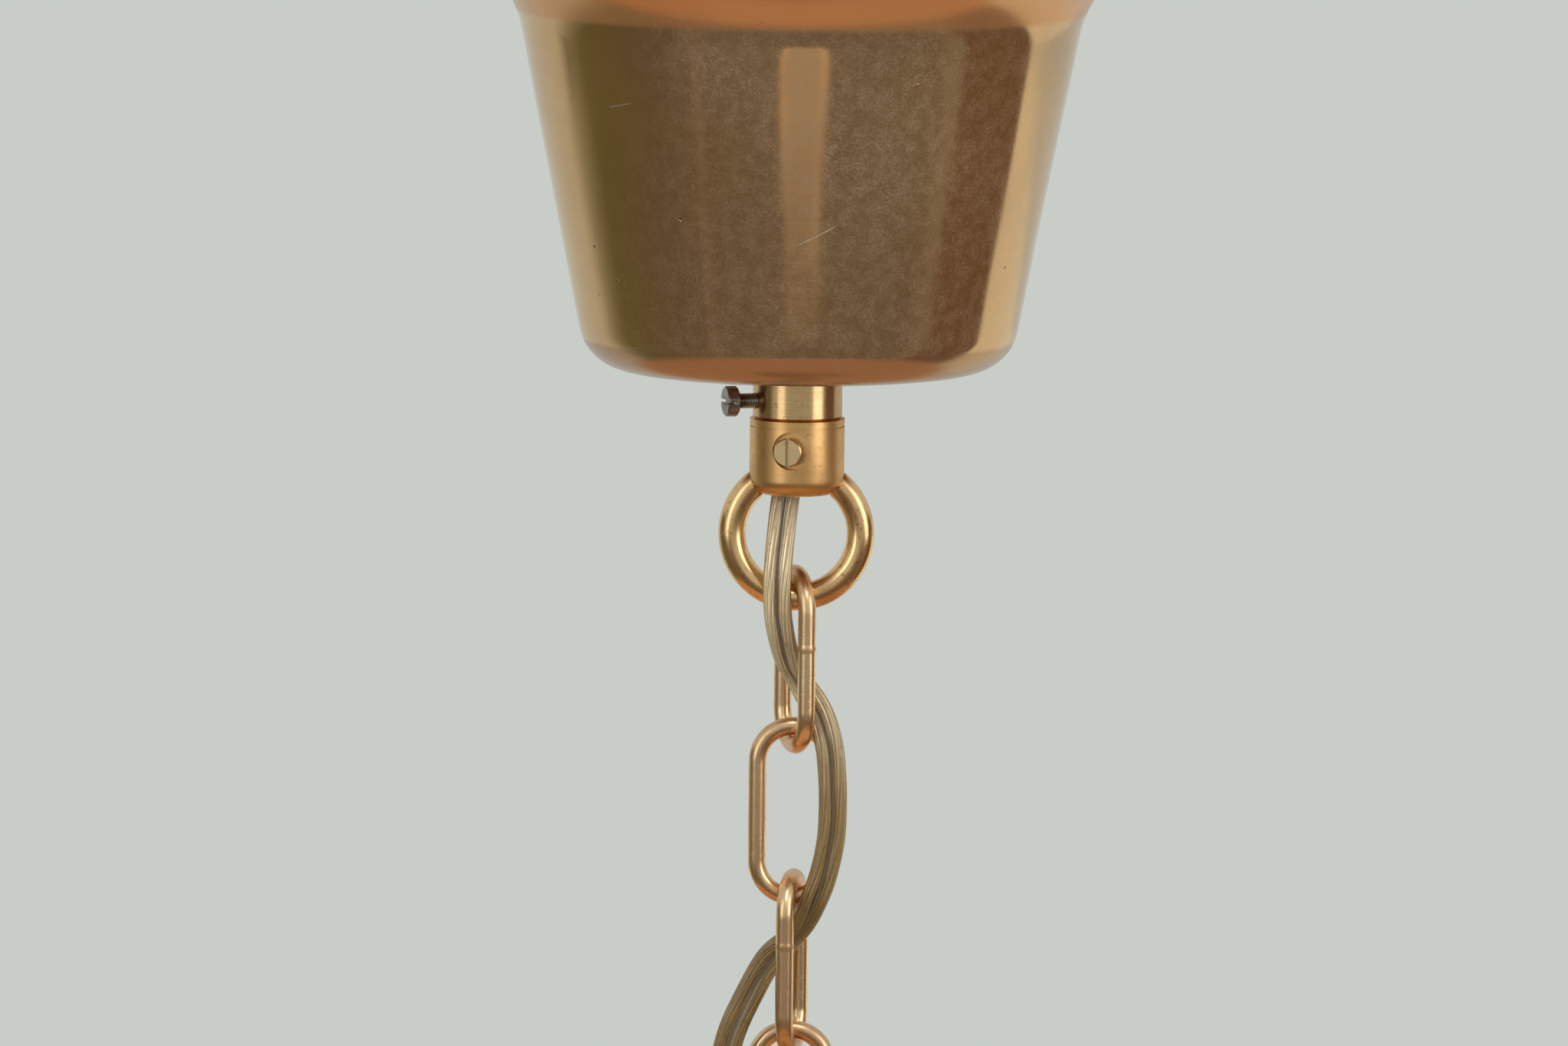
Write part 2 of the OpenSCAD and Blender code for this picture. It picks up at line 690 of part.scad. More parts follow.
module canopy() {
    bead_c = canopy_flare_c + (canopy_flare_r + canopy_sheet - canopy_bead_r)
        * [-cos(canopy_mouth_lean), sin(canopy_mouth_lean)];
    bead_from = bead_start(canopy_bead_r, canopy_sheet);
    color("peru") translate([0, 0, canopy_z]) rotate_extrude() polygon(concat(
        [[canopy_hole_r, 0]],
        arc(canopy_bend_c, canopy_bend_r, -90, -canopy_lean, 8),
        arc(canopy_flare_c, canopy_flare_r, 180 - canopy_lean, canopy_bead_turn, 8),
        arc(bead_c, canopy_bead_r, -canopy_mouth_lean - bead_from, 180 - canopy_mouth_lean, 14),
        arc(canopy_flare_c, canopy_flare_r + canopy_sheet, canopy_bead_turn, 180 - canopy_lean, 8),
        arc(canopy_bend_c, canopy_bend_r - canopy_sheet, -canopy_lean, -90, 8),
        [[canopy_hole_r, canopy_sheet]]));
}

// Link with its plane upright and the middle of its upper wire at the origin
module link() {
    straight = link_reach - 2 * link_mid_r;
    translate([0, 0, -link_mid_r]) rotate([90, 0, 0]) rotate_extrude(angle = 180)
        translate([link_mid_r, 0]) circle(link_wire_r);
    translate([0, 0, -link_mid_r - straight]) rotate([90, 0, 0]) rotate([0, 0, 180])
        rotate_extrude(angle = 180) translate([link_mid_r, 0]) circle(link_wire_r);
    for (x = [-link_mid_r, link_mid_r]) {
        translate([x, 0, -link_mid_r - straight]) cylinder(r = link_wire_r, h = straight);
    }
}

module chain_link(i) {
    color("peru") translate([0, 0, first_link_z - (i - 1) * link_pitch]) rotate([0, 0, link_turns[i - 1]])
        link();
}

// Places a piece of the lower end, which is the upper one turned over
module turned_over() {
    translate([0, 0, lamp_z]) mirror([0, 0, 1]) children();
}

module lower_ring() {
    color("goldenrod") turned_over() ring();
}

module lower_barrel() {
    color("goldenrod") turned_over() barrel(lower_lock_turn);
}

module lower_screw() {
    color("gold") turned_over() locking_screw(lower_lock_turn);
}

module lower_nipple() {
    color("goldenrod") translate([0, 0, nipple_top - nipple_len])
        turned(stem_r, stem_bore_r, nipple_len, edge_bevel);
}

module shade_washer() {
    color("goldenrod") translate([0, 0, lamp_z - seat_gap - shade_washer_t])
        turned(shade_washer_r, stem_r + thread_gap, shade_washer_t, edge_bevel);
}

// Shade's outline, from the top down
shade_neck_c = [shade_top_r, -shade_bend_r];
shade_flare_c = shade_neck_c + neck_len * [sin(neck_lean), -cos(neck_lean)]
    + (shade_bend_r + shade_flare_r) * [cos(neck_lean), sin(neck_lean)];
shade_round_c = shade_flare_c
    - (shade_flare_r + shade_round_r) * [cos(shoulder_lean), sin(shoulder_lean)];
skirt_dir = [sin(skirt_lean), -cos(skirt_lean)];
skirt_out = [cos(skirt_lean), sin(skirt_lean)];
shade_rim = shade_round_c + shade_round_r * skirt_out + skirt_len * skirt_dir;

module shade() {
    bead_c = shade_rim + (shade_bead_r - shade_sheet) * skirt_out;
    bead_from = bead_start(shade_bead_r, shade_sheet);
    color("peru") translate([0, 0, shade_z]) rotate_extrude() polygon(concat(
        [[stem_r + slide_gap, 0]],
        arc(shade_neck_c, shade_bend_r, 90, neck_lean, 8),
        arc(shade_flare_c, shade_flare_r, 180 + neck_lean, 180 + shoulder_lean, 12),
        arc(shade_round_c, shade_round_r, shoulder_lean, skirt_lean, 12),
        arc(bead_c, shade_bead_r, skirt_lean + bead_from, skirt_lean - 180, 14),
        arc(shade_round_c, shade_round_r - shade_sheet, skirt_lean, shoulder_lean, 12),
        arc(shade_flare_c, shade_flare_r + shade_sheet, 180 + shoulder_lean, 180 + neck_lean, 12),
        arc(shade_neck_c, shade_bend_r - shade_sheet, neck_lean, 90, 8),
        [[stem_r + slide_gap, -shade_sheet]]));
}

// Places a piece of the lampholder or the bulb: its depths count down from the lampholder's top
module in_holder() {
    translate([0, 0, holder_z]) mirror([0, 0, 1]) children();
}

module holder_cap() {
    dome_c = [holder_r - dome_r, holder_neck_h + dome_r];
    color("goldenrod") in_holder() rotate_extrude() polygon(concat(
        [[stem_r + thread_gap, 0], [holder_neck_r, 0], [holder_neck_r, holder_neck_h]],
        arc(dome_c, dome_r, -90, 0, 8),
        [[holder_r, cap_low], [holder_r - holder_wall, cap_low]],
        arc(dome_c, dome_r - holder_wall, 0, -90, 8),
        [[stem_r + thread_gap, holder_neck_h + holder_wall]]));
}

module holder_sleeve() {
    sleeve_in = holder_r - 2 * holder_wall - thread_gap;
    color("goldenrod") in_holder() rotate_extrude() polygon([
        [sleeve_in, cap_low - lap],
        [sleeve_in + holder_wall, cap_low - lap],
        [sleeve_in + holder_wall, cap_low + seat_gap],
        [holder_r, cap_low + seat_gap],
        [holder_r, sleeve_low - 2 * edge_bevel],
        [holder_r - 2 * edge_bevel, sleeve_low],
        [lip_in, sleeve_low],
        [lip_in, sleeve_low - holder_wall],
        [sleeve_in, sleeve_low - holder_wall]]);
}

module holder_porcelain() {
    thread_out = thread_r + thread_wall + thread_gap;
    color("white") in_holder() difference() {
        translate([0, 0, porcelain_top])
            turned(porcelain_r, 0, sleeve_low - holder_wall - seat_gap - porcelain_top, edge_bevel);
        translate([0, 0, floor_low]) cylinder(r = thread_out, h = sleeve_low);
        for (x = [-holder_pole_x, holder_pole_x]) {
            translate([x, 0, porcelain_top - past])
                cylinder(r = pole_bolt_r + thread_gap, h = pole_bolt_len + 2 * past);
        }
    }
}

module holder_thread() {
    color("goldenrod") in_holder() translate([0, 0, floor_low + seat_gap])
        turned(thread_r + thread_wall, thread_r, thread_h, thin_bevel);
}

module centre_contact() {
    foot = [for (x = contact_foot) [x, 0]];
    rise = [1, 1, 0.5];
    tongue = [for (i = [0 : 2]) [contact_tongue[i], contact_rise * rise[i]]];
    color("gold") in_holder() translate([0, contact_w / 2, floor_low + seat_gap]) rotate([90, 0, 0])
        linear_extrude(contact_w) polygon(concat(foot, tongue,
            [for (i = [2 : -1 : 0]) tongue[i] + [0, contact_t]],
            [for (i = [1 : -1 : 0]) foot[i] + [0, contact_t]]));
}

module holder_plates() {
    color("gold") in_holder() for (x = [-holder_pole_x, holder_pole_x]) {
        translate([x, 0, porcelain_top - plate_t - seat_gap]) difference() {
            translate([-plate_w / 2, -plate_l / 2, 0]) cube([plate_w, plate_l, plate_t]);
            translate([0, 0, -past]) cylinder(r = pole_bolt_r + thread_gap, h = plate_t + 2 * past);
        }
    }
}

module holder_screws() {
    under = plate_t + 2 * copper_r + 3 * seat_gap;
    color("silver") in_holder() for (x = [-holder_pole_x, holder_pole_x]) {
        translate([x, 0, porcelain_top - under]) rotate([0, 90, 0])
            slotted_screw(pole_bolt_r, under + pole_bolt_len, pole_bolt_head_r, pole_bolt_head_h,
                -under - pole_bolt_len);
    }
}

module lower_leads() {
    color("khaki") translate([0, 0, holder_z]) {
        round_tube(lead_low, core_r);
        rotate([0, 0, 180]) round_tube(lead_low, core_r);
    }
}

module lower_wire_ends() {
    wire_z = porcelain_top - plate_t - 2 * seat_gap - copper_r;
    color("chocolate") in_holder() for (turn = [0, 180]) {
        rotate([0, 0, turn]) translate([low_wire[0], low_wire[1], wire_z]) rotate([0, 90, 0])
            cylinder(r = copper_r, h = low_wire_len);
    }
}

module bulb_cap() {
    color("silver") in_holder() translate([0, 0, bulb_cap_top])
        turned(bulb_cap_r, bulb_cap_r - bulb_cap_wall, bulb_cap_h, thin_bevel);
}

module bulb_insulator() {
    side_r = bulb_cap_r - bulb_cap_wall - thread_gap;
    color("dimgray") in_holder() translate([0, 0, bulb_top + bulb_contact_h]) rotate_extrude()
        polygon([[0, 0], [insulator_top_r, 0], [side_r, insulator_slope], [side_r, insulator_h],
            [0, insulator_h]]);
}

module bulb_contact() {
    color("silver") in_holder() translate([0, 0, bulb_top + seat_gap])
        turned(bulb_contact_r, 0, bulb_contact_h - 2 * seat_gap, thin_bevel);
}

// Bulb's glass: a neck that widens into the globe
module bulb_glass() {
    meet = 52;
    swell = [0.6, 3];
    swell_z = bulb_cap_low + 4;
    neck_in = bulb_neck_r - glass_t;
    outer = concat(
        [[bulb_neck_r, glass_top], [bulb_neck_r, swell_z], [bulb_neck_r, swell_z] + swell],
        arc([0, globe_z], globe_r, meet - 90, 90, 14));
    inner = concat(
        arc([0, globe_z], globe_r - glass_t, 90, meet - 90, 14),
        [[neck_in, swell_z + glass_t / 4] + swell, [neck_in, swell_z], [neck_in, glass_top]]);
    color("lightcyan", 0.4) in_holder() rotate_extrude() polygon(concat(outer, inner));
}

// Glass stem that carries the filament's wires, with its flare melted to the neck
module bulb_stem() {
    flare_r = bulb_neck_r - glass_t - thread_gap;
    color("lightcyan") in_holder() translate([0, 0, glass_top]) rotate_extrude() polygon([
        [0, stem_dip], [flare_r, 0], [flare_r, stem_rim], [stem_radii[0], stem_shoulder],
        [stem_radii[1], glass_stem_h - stem_pinch], [stem_radii[2], glass_stem_h],
        [0, glass_stem_h]]);
}

// Filament on its two wires
module filament() {
    top = glass_top + glass_stem_h + seat_gap;
    low = globe_z + filament_drop;
    spread = atan((filament_span - filament_near) / (low - top));
    color("dimgray") in_holder() {
        for (side = [-1, 1]) {
            translate([side * filament_near, 0, top + filament_wire_r]) rotate([0, side * spread, 0])
                cylinder(r = filament_wire_r, h = (low - top) / cos(spread));
        }
        translate([-filament_span - 2 * filament_r, 0, low]) rotate([0, 90, 0])
            cylinder(r = filament_r, h = 2 * (filament_span + 2 * filament_r));
    }
}

hook_strap();
stem_tube();
stem_nuts();
lock_washer();
terminal_block();
terminal_inserts();
terminal_screws();
block_screw();
block_nut();
upper_leads();
upper_wire_ends();
flex();
loop_barrel();
barrel_screw();
loop_ring();
stop_collar();
clamp_screw();
canopy();
chain_link(1);  // link_1
chain_link(2);  // link_2
chain_link(3);  // link_3
chain_link(4);  // link_4
chain_link(5);  // link_5
chain_link(6);  // link_6
chain_link(7);  // link_7
lower_ring();
lower_barrel();
lower_screw();
lower_nipple();
shade_washer();
shade();
holder_cap();
holder_sleeve();
holder_porcelain();
holder_thread();
centre_contact();
holder_plates();
holder_screws();
lower_leads();
lower_wire_ends();
bulb_cap();
bulb_insulator();
bulb_contact();
bulb_glass();
bulb_stem();
filament();
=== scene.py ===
import math

import bpy
import numpy as np
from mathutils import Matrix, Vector


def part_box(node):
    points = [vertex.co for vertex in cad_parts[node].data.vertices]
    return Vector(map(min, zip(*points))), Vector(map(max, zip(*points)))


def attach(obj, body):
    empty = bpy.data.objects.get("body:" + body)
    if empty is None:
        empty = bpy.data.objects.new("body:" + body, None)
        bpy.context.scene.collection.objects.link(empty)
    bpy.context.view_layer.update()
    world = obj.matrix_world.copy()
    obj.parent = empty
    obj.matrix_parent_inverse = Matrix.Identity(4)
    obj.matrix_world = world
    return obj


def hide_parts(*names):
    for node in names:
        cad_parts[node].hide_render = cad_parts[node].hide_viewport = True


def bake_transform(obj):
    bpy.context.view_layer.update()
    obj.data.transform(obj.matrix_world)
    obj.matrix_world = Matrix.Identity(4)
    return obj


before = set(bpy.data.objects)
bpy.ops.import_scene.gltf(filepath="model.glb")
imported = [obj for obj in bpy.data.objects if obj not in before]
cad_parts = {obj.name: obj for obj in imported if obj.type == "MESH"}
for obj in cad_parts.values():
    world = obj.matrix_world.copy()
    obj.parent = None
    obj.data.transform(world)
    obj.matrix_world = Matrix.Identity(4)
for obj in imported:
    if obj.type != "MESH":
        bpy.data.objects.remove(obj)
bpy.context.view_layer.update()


# Hanging strap
# A strip of steel bent into an eye over a window for the stem's upper nut. It is cut, bent and
# tumbled before it is zinc-plated, so its faces keep a soft bloom and fine scuffs.
MM = 0.001
ZINC_BRIGHT = (0.62, 0.62, 0.6)
ZINC_DULL = (0.4, 0.41, 0.42)


class Signal:
    """One output of a node. Sums with it add Math nodes beside it."""

    def __init__(self, nodes, socket):
        self.nodes = nodes
        self.socket = socket

    def sum(self, operation, first, second):
        return self.nodes.node("Math", {"operation": operation}, {0: first, 1: second})

    def __add__(self, other):
        return self.sum("ADD", self, other)

    def __radd__(self, other):
        return self.sum("ADD", other, self)

    def __sub__(self, other):
        return self.sum("SUBTRACT", self, other)

    def __rsub__(self, other):
        return self.sum("SUBTRACT", other, self)

    def __mul__(self, other):
        return self.sum("MULTIPLY", self, other)

    def __rmul__(self, other):
        return self.sum("MULTIPLY", other, self)

    def __abs__(self):
        return self.sum("ABSOLUTE", self, 0.0)

    def highest(self, other):
        return self.sum("MAXIMUM", self, other)


class Nodes:
    """The nodes of one finish, or of the room."""

    def __init__(self, tree):
        self.tree = tree

    def feed(self, node, sockets):
        for key, value in sockets.items():
            socket = node.inputs[key]
            if isinstance(value, Signal):
                self.tree.links.new(value.socket, socket)
            elif socket.type == "RGBA" and len(value) == 3:
                socket.default_value = (*value, 1.0)
            else:
                socket.default_value = value

    def node(self, kind, settings=None, sockets=None, output=0):
        made = self.tree.nodes.new("ShaderNode" + kind)
        for key, value in (settings or {}).items():
            setattr(made, key, value)
        self.feed(made, sockets or {})
        return Signal(self, made.outputs[output])

    def step(self, value, low, high):
        """0 up to low and 1 from high on, with a smooth rise between them."""
        return self.node("MapRange", {"interpolation_type": "SMOOTHSTEP"}, {0: value, 1: low, 2: high})

    def mix(self, share, first, second):
        return self.node("Mix", {"data_type": "RGBA"}, {0: share, 6: first, 7: second}, 2)


class Finish(Nodes):
    """A material of the lamp, built from nodes round its one shader."""

    def __init__(self, name, sockets=None):
        self.material = bpy.data.materials.new(name)
        self.material.use_nodes = True
        super().__init__(self.material.node_tree)
        self.shader = self.tree.nodes["Principled BSDF"]
        self.feed(self.shader, sockets or {})
        self.place = self.node("TexCoord", output=3)

    def noise(self, scale, detail=2.0, stretch=(1.0, 1.0, 1.0)):
        place = self.node("VectorMath", {"operation": "MULTIPLY"}, {0: self.place, 1: stretch})
        return self.node("TexNoise", {}, {"Vector": place, "Scale": scale, "Detail": detail})

    def show(self, colour, roughness, height=None):
        """Colour and roughness of the surface, and the height of its marks in millimetres."""
        self.feed(self.shader, {"Base Color": colour, "Roughness": roughness})
        if height is not None:
            bump = self.node("Bump", {}, {"Strength": 1.0, "Distance": MM, "Height": height})
            self.feed(self.shader, {"Normal": bump})

    def dress(self, *nodes):
        """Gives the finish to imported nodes, whose own shape is right."""
        for name in nodes:
            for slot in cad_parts[name].material_slots:
                slot.material = self.material


def plated_steel(name, bright, dull):
    plate = Finish(name, {"Metallic": 1.0})
    bloom = plate.step(plate.noise(90, 3), 0.35, 0.7)
    scuffs = plate.step(plate.noise(700, 3, (1, 1, 0.12)), 0.6, 0.72)
    colour = plate.mix(bloom, bright, dull)
    plate.show(colour, 0.26 + bloom * 0.16 + scuffs * 0.12, bloom * 0.004 - scuffs * 0.006)
    return plate


zinc = plated_steel("zinc", ZINC_BRIGHT, ZINC_DULL)
zinc.dress("hook_strap")


# Stem, its two nuts and its toothed washer
# The stem is brass tube with a fine thread from end to end, so the nuts clamp the strap's base at
# any height. The nuts are turned from hexagon bar, and the washer is stamped from steel.
STEM_THREAD = {"pitch": 1.0 * MM, "depth": 0.5 * MM}
STEM_R = 5.0 * MM
STEM_BORE = 3.9 * MM
TUBE_AROUND = 40
BRASS_CLEAN = (0.74, 0.5, 0.24)
BRASS_TARNISH = (0.46, 0.24, 0.11)


def brass(name, clean, tarnish, rough, lines, line_scale=2200, wear=1.0):
    """Satin brass. Wear scales its clouds and specks of tarnish, and lines stretches the tool's
    marks along each axis."""
    metal = Finish(name, {"Metallic": 1.0})
    clouds = metal.step(metal.noise(55, 4), 0.44, 0.7)
    specks = metal.step(metal.noise(850, 3), 0.58, 0.7)
    marks = metal.noise(line_scale, 2, lines)
    colour = metal.mix(clouds * (0.5 * wear) + specks * (0.35 * wear), clean, tarnish)
    colour = metal.mix(marks * 0.3, colour, tarnish)
    metal.show(colour, rough + clouds * 0.1 + marks * 0.08, marks * 0.008 - specks * 0.006)
    return metal


def shaped(name, points, faces, crease=34):
    """Mesh object with smooth faces and with edges where they turn by more than crease degrees."""
    mesh = bpy.data.meshes.new(name)
    mesh.from_pydata([tuple(p) for p in points], [], faces)
    mesh.validate()
    mesh.polygons.foreach_set("use_smooth", [True] * len(mesh.polygons))
    mesh.set_sharp_from_angle(angle=math.radians(crease))
    piece = bpy.data.objects.new(name, mesh)
    bpy.context.scene.collection.objects.link(piece)
    return piece


def turned(name, outline, around, form=None, crease=34):
    """Solid of revolution about the z axis. The outline of (r, z) runs with the metal on its left,
    and form may shift its points at each angle."""
    r, z = np.array(outline, float).T
    points = []
    for turn in np.arange(around) * 2 * math.pi / around:
        new_r, new_z = form(r, z, turn) if form else (r, z)
        points.append(np.stack([new_r * math.cos(turn), new_r * math.sin(turn), new_z], 1))
    count = len(outline)
    on_axis = {k for k in range(count) if outline[k][0] == 0}
    faces = []
    for i in range(around):
        for k in range(count):
            corners = [(i, k), ((i + 1) % around, k), ((i + 1) % around, (k + 1) % count),
                       (i, (k + 1) % count)]
            face = []
            for ring, point in corners:
                index = point if point in on_axis else ring * count + point
                if index not in face:
                    face.append(index)
            if len(face) > 2:
                faces.append(face)
    return shaped(name, np.concatenate(points), faces, crease)


def thread_rows(r, low, high, pitch, steps=8):
    """Outline rows of a threaded stretch from z low to z high."""
    rows = max(2, round(abs(high - low) / pitch * steps))
    return [(r, low + (high - low) * i / rows) for i in range(rows + 1)]


def threaded(r_crest, low, high, pitch, depth):
    """Form for turned(): points on the crest's radius follow a helix, fading at both ends."""
    def form(r, z, turn):
        phase = (z / pitch - turn / (2 * math.pi)) % 1
        valley = abs(2 * phase - 1)
        fade = np.clip(np.minimum(z - low, high - z) / pitch, 0, 1)
        on_thread = (abs(r - r_crest) < 1e-7) & (z >= low) & (z <= high)
        return np.where(on_thread, r - depth * valley * fade, r), z
    return form


def fit(piece, body, slot, finish, *nodes):
    """The piece takes its finish, rides its body and stands for the nodes."""
    piece.data.materials.append(finish.material)
    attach(piece, body)
    if nodes:
        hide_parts(*nodes)


def threaded_tube(name, r, bore, low, high, pitch, depth):
    rows = thread_rows(r, low, high, pitch)
    form = threaded(r, low, high, pitch, depth)
    return turned(name, rows + [(bore, high), (bore, low)], TUBE_AROUND, form, 50)


turned_brass = brass("turned_brass", BRASS_CLEAN, BRASS_TARNISH, rough=0.25, lines=(0.06, 0.06, 1))
stem_low, stem_high = (corner.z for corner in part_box("stem_tube"))
stem = threaded_tube("stem", STEM_R, STEM_BORE, stem_low, stem_high, **STEM_THREAD)
fit(stem, "root", "fitting_brass", turned_brass, "stem_tube")
turned_brass.dress("stem_nuts")
zinc.dress("lock_washer")


# Terminal block
# A pressed and glazed steatite block with two brass inserts, four brass screws and a steel screw
# and nut through the strap's leg. The glaze is off-white, with small iron specks.
GLAZE = (0.78, 0.75, 0.67)
GLAZE_SPECK = (0.36, 0.28, 0.2)


def glazed(name, body, speck, rough):
    glaze = Finish(name, {"Specular IOR Level": 0.55, "Coat Weight": 0.3, "Coat Roughness": 0.08})
    cast = glaze.noise(60, 3)
    specks = glaze.step(glaze.noise(1100, 2), 0.71, 0.76)
    shade = glaze.mix(cast * 0.3, body, tuple(0.86 * c for c in body))
    glaze.show(glaze.mix(specks * 0.8, shade, speck), rough + cast * 0.1, cast * 0.03)
    return glaze


steatite = glazed("steatite", GLAZE, GLAZE_SPECK, 0.22)
steatite.dress("terminal_block")
turned_brass.dress("terminal_inserts", "terminal_screws")
zinc.dress("block_screw", "block_nut")


# Cores of the flex at the block
# The flex's two cores part under the strap's window and rise into the block. Each is a bundle of
# fine copper strands in a clear, gold-tinted sheath, stripped at its end.
CORE_R = 1.1 * MM
CORE_AROUND = 20
STRANDS_R = 0.72 * MM
STRAND_DEPTH = 0.07 * MM
LEAD_STEPS = 5
# Radians that a lead's strands wind from one point of its route to the next
LEAD_LAY = 0.25
SHEATH_TINT = (1.0, 0.93, 0.79)
SHEATH_BROWN_AND_SHADE = (0.32, 0.24, 0.12)
GROOVE_AND_RIM_SHADE = (0.34, 0.24, 0.11)
# Heights between which the sheath is painted from its lighter upper end to its darker lower one,
# as painted shade where less light falls
PAINTED_SHADE_FROM = (-116 * MM, -178 * MM)
STRAND_GOLD = (1.0, 0.87, 0.66)
STRAND_DARK = (0.5, 0.34, 0.17)
COPPER = (0.72, 0.34, 0.18)
COPPER_DARK = (0.4, 0.17, 0.09)
UPPER_FRONT = [(1.35, 0, -24.6), (1.6, -0.6, -22.2), (2.6, -4, -19.8), (5.8, -8.6, -20.6),
               (9.8, -10.6, -25), (14.2, -10, -31), (18, -6.8, -34), (19.4, -5.1, -31.6), (19.5, -5, -28.5)]
UPPER_BACK = [(-1.35, 0, -24.6), (-1.4, 0.6, -22), (0, 4.2, -19.4), (4.2, 8.6, -20.4),
              (9.4, 10.6, -25), (14.2, 10, -31), (18, 6.8, -34), (19.4, 5.1, -31.6), (19.5, 5, -28.5)]


def smooth_route(points, steps):
    """Points on a smooth curve through the route's points, with steps of them to each stretch."""
    p = [Vector(point) * MM for point in points]
    route = []
    for i in range(len(p) - 1):
        a, b, c, d = p[max(i - 1, 0)], p[i], p[i + 1], p[min(i + 2, len(p) - 1)]
        for k in range(steps):
            t = k / steps
            route.append(b + 0.5 * t * ((c - a) + t * ((2 * a - 5 * b + 4 * c - d)
                                                        + t * (3 * (b - c) + d - a))))
    return route + [p[-1]]


def directions(route, closed=False):
    """Direction of the route at each of its points."""
    last = len(route) - 1
    if closed:
        return [(route[(i + 1) % (last + 1)] - route[i - 1]).normalized() for i in range(last + 1)]
    return [(route[min(i + 1, last)] - route[max(i - 1, 0)]).normalized() for i in range(last + 1)]


def carried_sides(route, side):
    """Side vector of each point, carried along the route without twist from the first one."""
    sides = []
    for way in directions(route):
        side = (side - side.dot(way) * way).normalized()
        sides.append(side)
    return sides


def swept(name, route, sides, section, closed=False, capped=True, crease=50):
    """Tube along the route. section(i) gives the (u, v) outline at point i, with u along its side."""
    points, faces = [], []
    for i, (p, way, side) in enumerate(zip(route, directions(route, closed), sides)):
        up = way.cross(side)
        points += [p + u * side + v * up for u, v in section(i)]
    around = len(section(0))
    rings = len(route)
    for i in range(rings if closed else rings - 1):
        a, b = i * around, (i + 1) % rings * around
        faces += [(a + k, a + (k + 1) % around, b + (k + 1) % around, b + k) for k in range(around)]
    if capped and not closed:
        faces.append(tuple(range(around - 1, -1, -1)))
        faces.append(tuple((rings - 1) * around + k for k in range(around)))
    return shaped(name, points, faces, crease)


def round_section(r, around):
    """Round outline of radius r."""
    turns = [2 * math.pi * k / around for k in range(around)]
    return [(r * math.cos(a), r * math.sin(a)) for a in turns]


def strand_section(r, twist, around=48, strands=12):
    """Outline of a bundle of strands of radius r, turned by twist radians."""
    turns = [2 * math.pi * k / around for k in range(around)]
    reach = [r - STRAND_DEPTH * (1 + math.cos(strands * a)) for a in turns]
    return [(q * math.cos(a + twist), q * math.sin(a + twist)) for q, a in zip(reach, turns)]


def joined(name, pieces):
    """One piece from several, with the first one's finish."""
    with bpy.context.temp_override(active_object=pieces[0], selected_editable_objects=pieces):
        bpy.ops.object.join()
    pieces[0].name = name
    return pieces[0]


def sheath_finish(name, tint):
    sheath = Finish(name, {"Transmission Weight": 0.94, "IOR": 1.46})
    groove = sheath.node("Attribute", {"attribute_name": "groove"}, output=2)
    z = sheath.node("SeparateXYZ", {}, {0: sheath.place}, 2)
    cloud = sheath.noise(120, 3, (1, 1, 0.25))
    dust = sheath.step(sheath.noise(1500, 2), 0.55, 0.75)
    # Painted shade: the sheath is painted darker towards its lower end, where less light falls.
    painted_shade = sheath.step(z, *PAINTED_SHADE_FROM) * 0.85
    colour = sheath.mix(cloud * 0.3 + painted_shade, tint, SHEATH_BROWN_AND_SHADE)
    # Painted shade: the groove between the lobes and the lobes' outer rims are painted brown.
    colour = sheath.mix(groove * 0.9, colour, GROOVE_AND_RIM_SHADE)
    sheath.show(colour, 0.09 + dust * 0.1 + groove * 0.2, cloud * 0.02)
    return sheath


clear_sheath = sheath_finish("flex_sheath", SHEATH_TINT)
strand_metal = brass("flex_strands", STRAND_GOLD, STRAND_DARK, rough=0.3, lines=(1, 1, 0.2))
bare_copper = brass("bare_copper", COPPER, COPPER_DARK, rough=0.3, lines=(1, 1, 0.1))


def round_leads(name, body, routes, node):
    """Sheathed round cores: the clear sheaths as one piece and the strands in them as another."""
    sheaths, strands = [], []
    for route in routes:
        sides = carried_sides(route, Vector((1, 0, 0)))
        sheaths.append(swept("sheath", route, sides, lambda i: round_section(CORE_R, CORE_AROUND)))
        strands.append(swept("strands", route, sides, lambda i: strand_section(STRANDS_R, LEAD_LAY * i)))
    fit(joined(name, sheaths), body, "core_sheath", clear_sheath, node)
    fit(joined(name + "_strands", strands), body, "copper", strand_metal)


upper_routes = [smooth_route(points, LEAD_STEPS) for points in (UPPER_FRONT, UPPER_BACK)]
round_leads("upper_cores", "root", upper_routes, "upper_leads")
bare_copper.dress("upper_wire_ends")


# Flex
# Flat twin lamp flex, two lobes of clear gold-tinted sheath with copper strands in each. It runs
# down the stem, out of the barrel and through the links by turns, and its sides catch the light.
FLEX_LOBE = 1.35 * MM
FLEX_WEB = 1.05 * MM
WEB_SUNK = 0.93
LOBE_STEPS = 9
# Reach of the painted brown shade from the groove, and how far out it starts again at the rims as painted
# dark edges
FLEX_GROOVE = 0.5 * MM
FLEX_RIM = 2.25 * MM
# Half width of the dark line painted in the groove as shade
SHADE_LINE_HALF = 0.22 * MM
SHADE_LINE_DARK = (0.07, 0.045, 0.025)
SHADE_LINE_BROWN = (0.2, 0.13, 0.07)
FLEX_CORE_R = 0.98 * MM
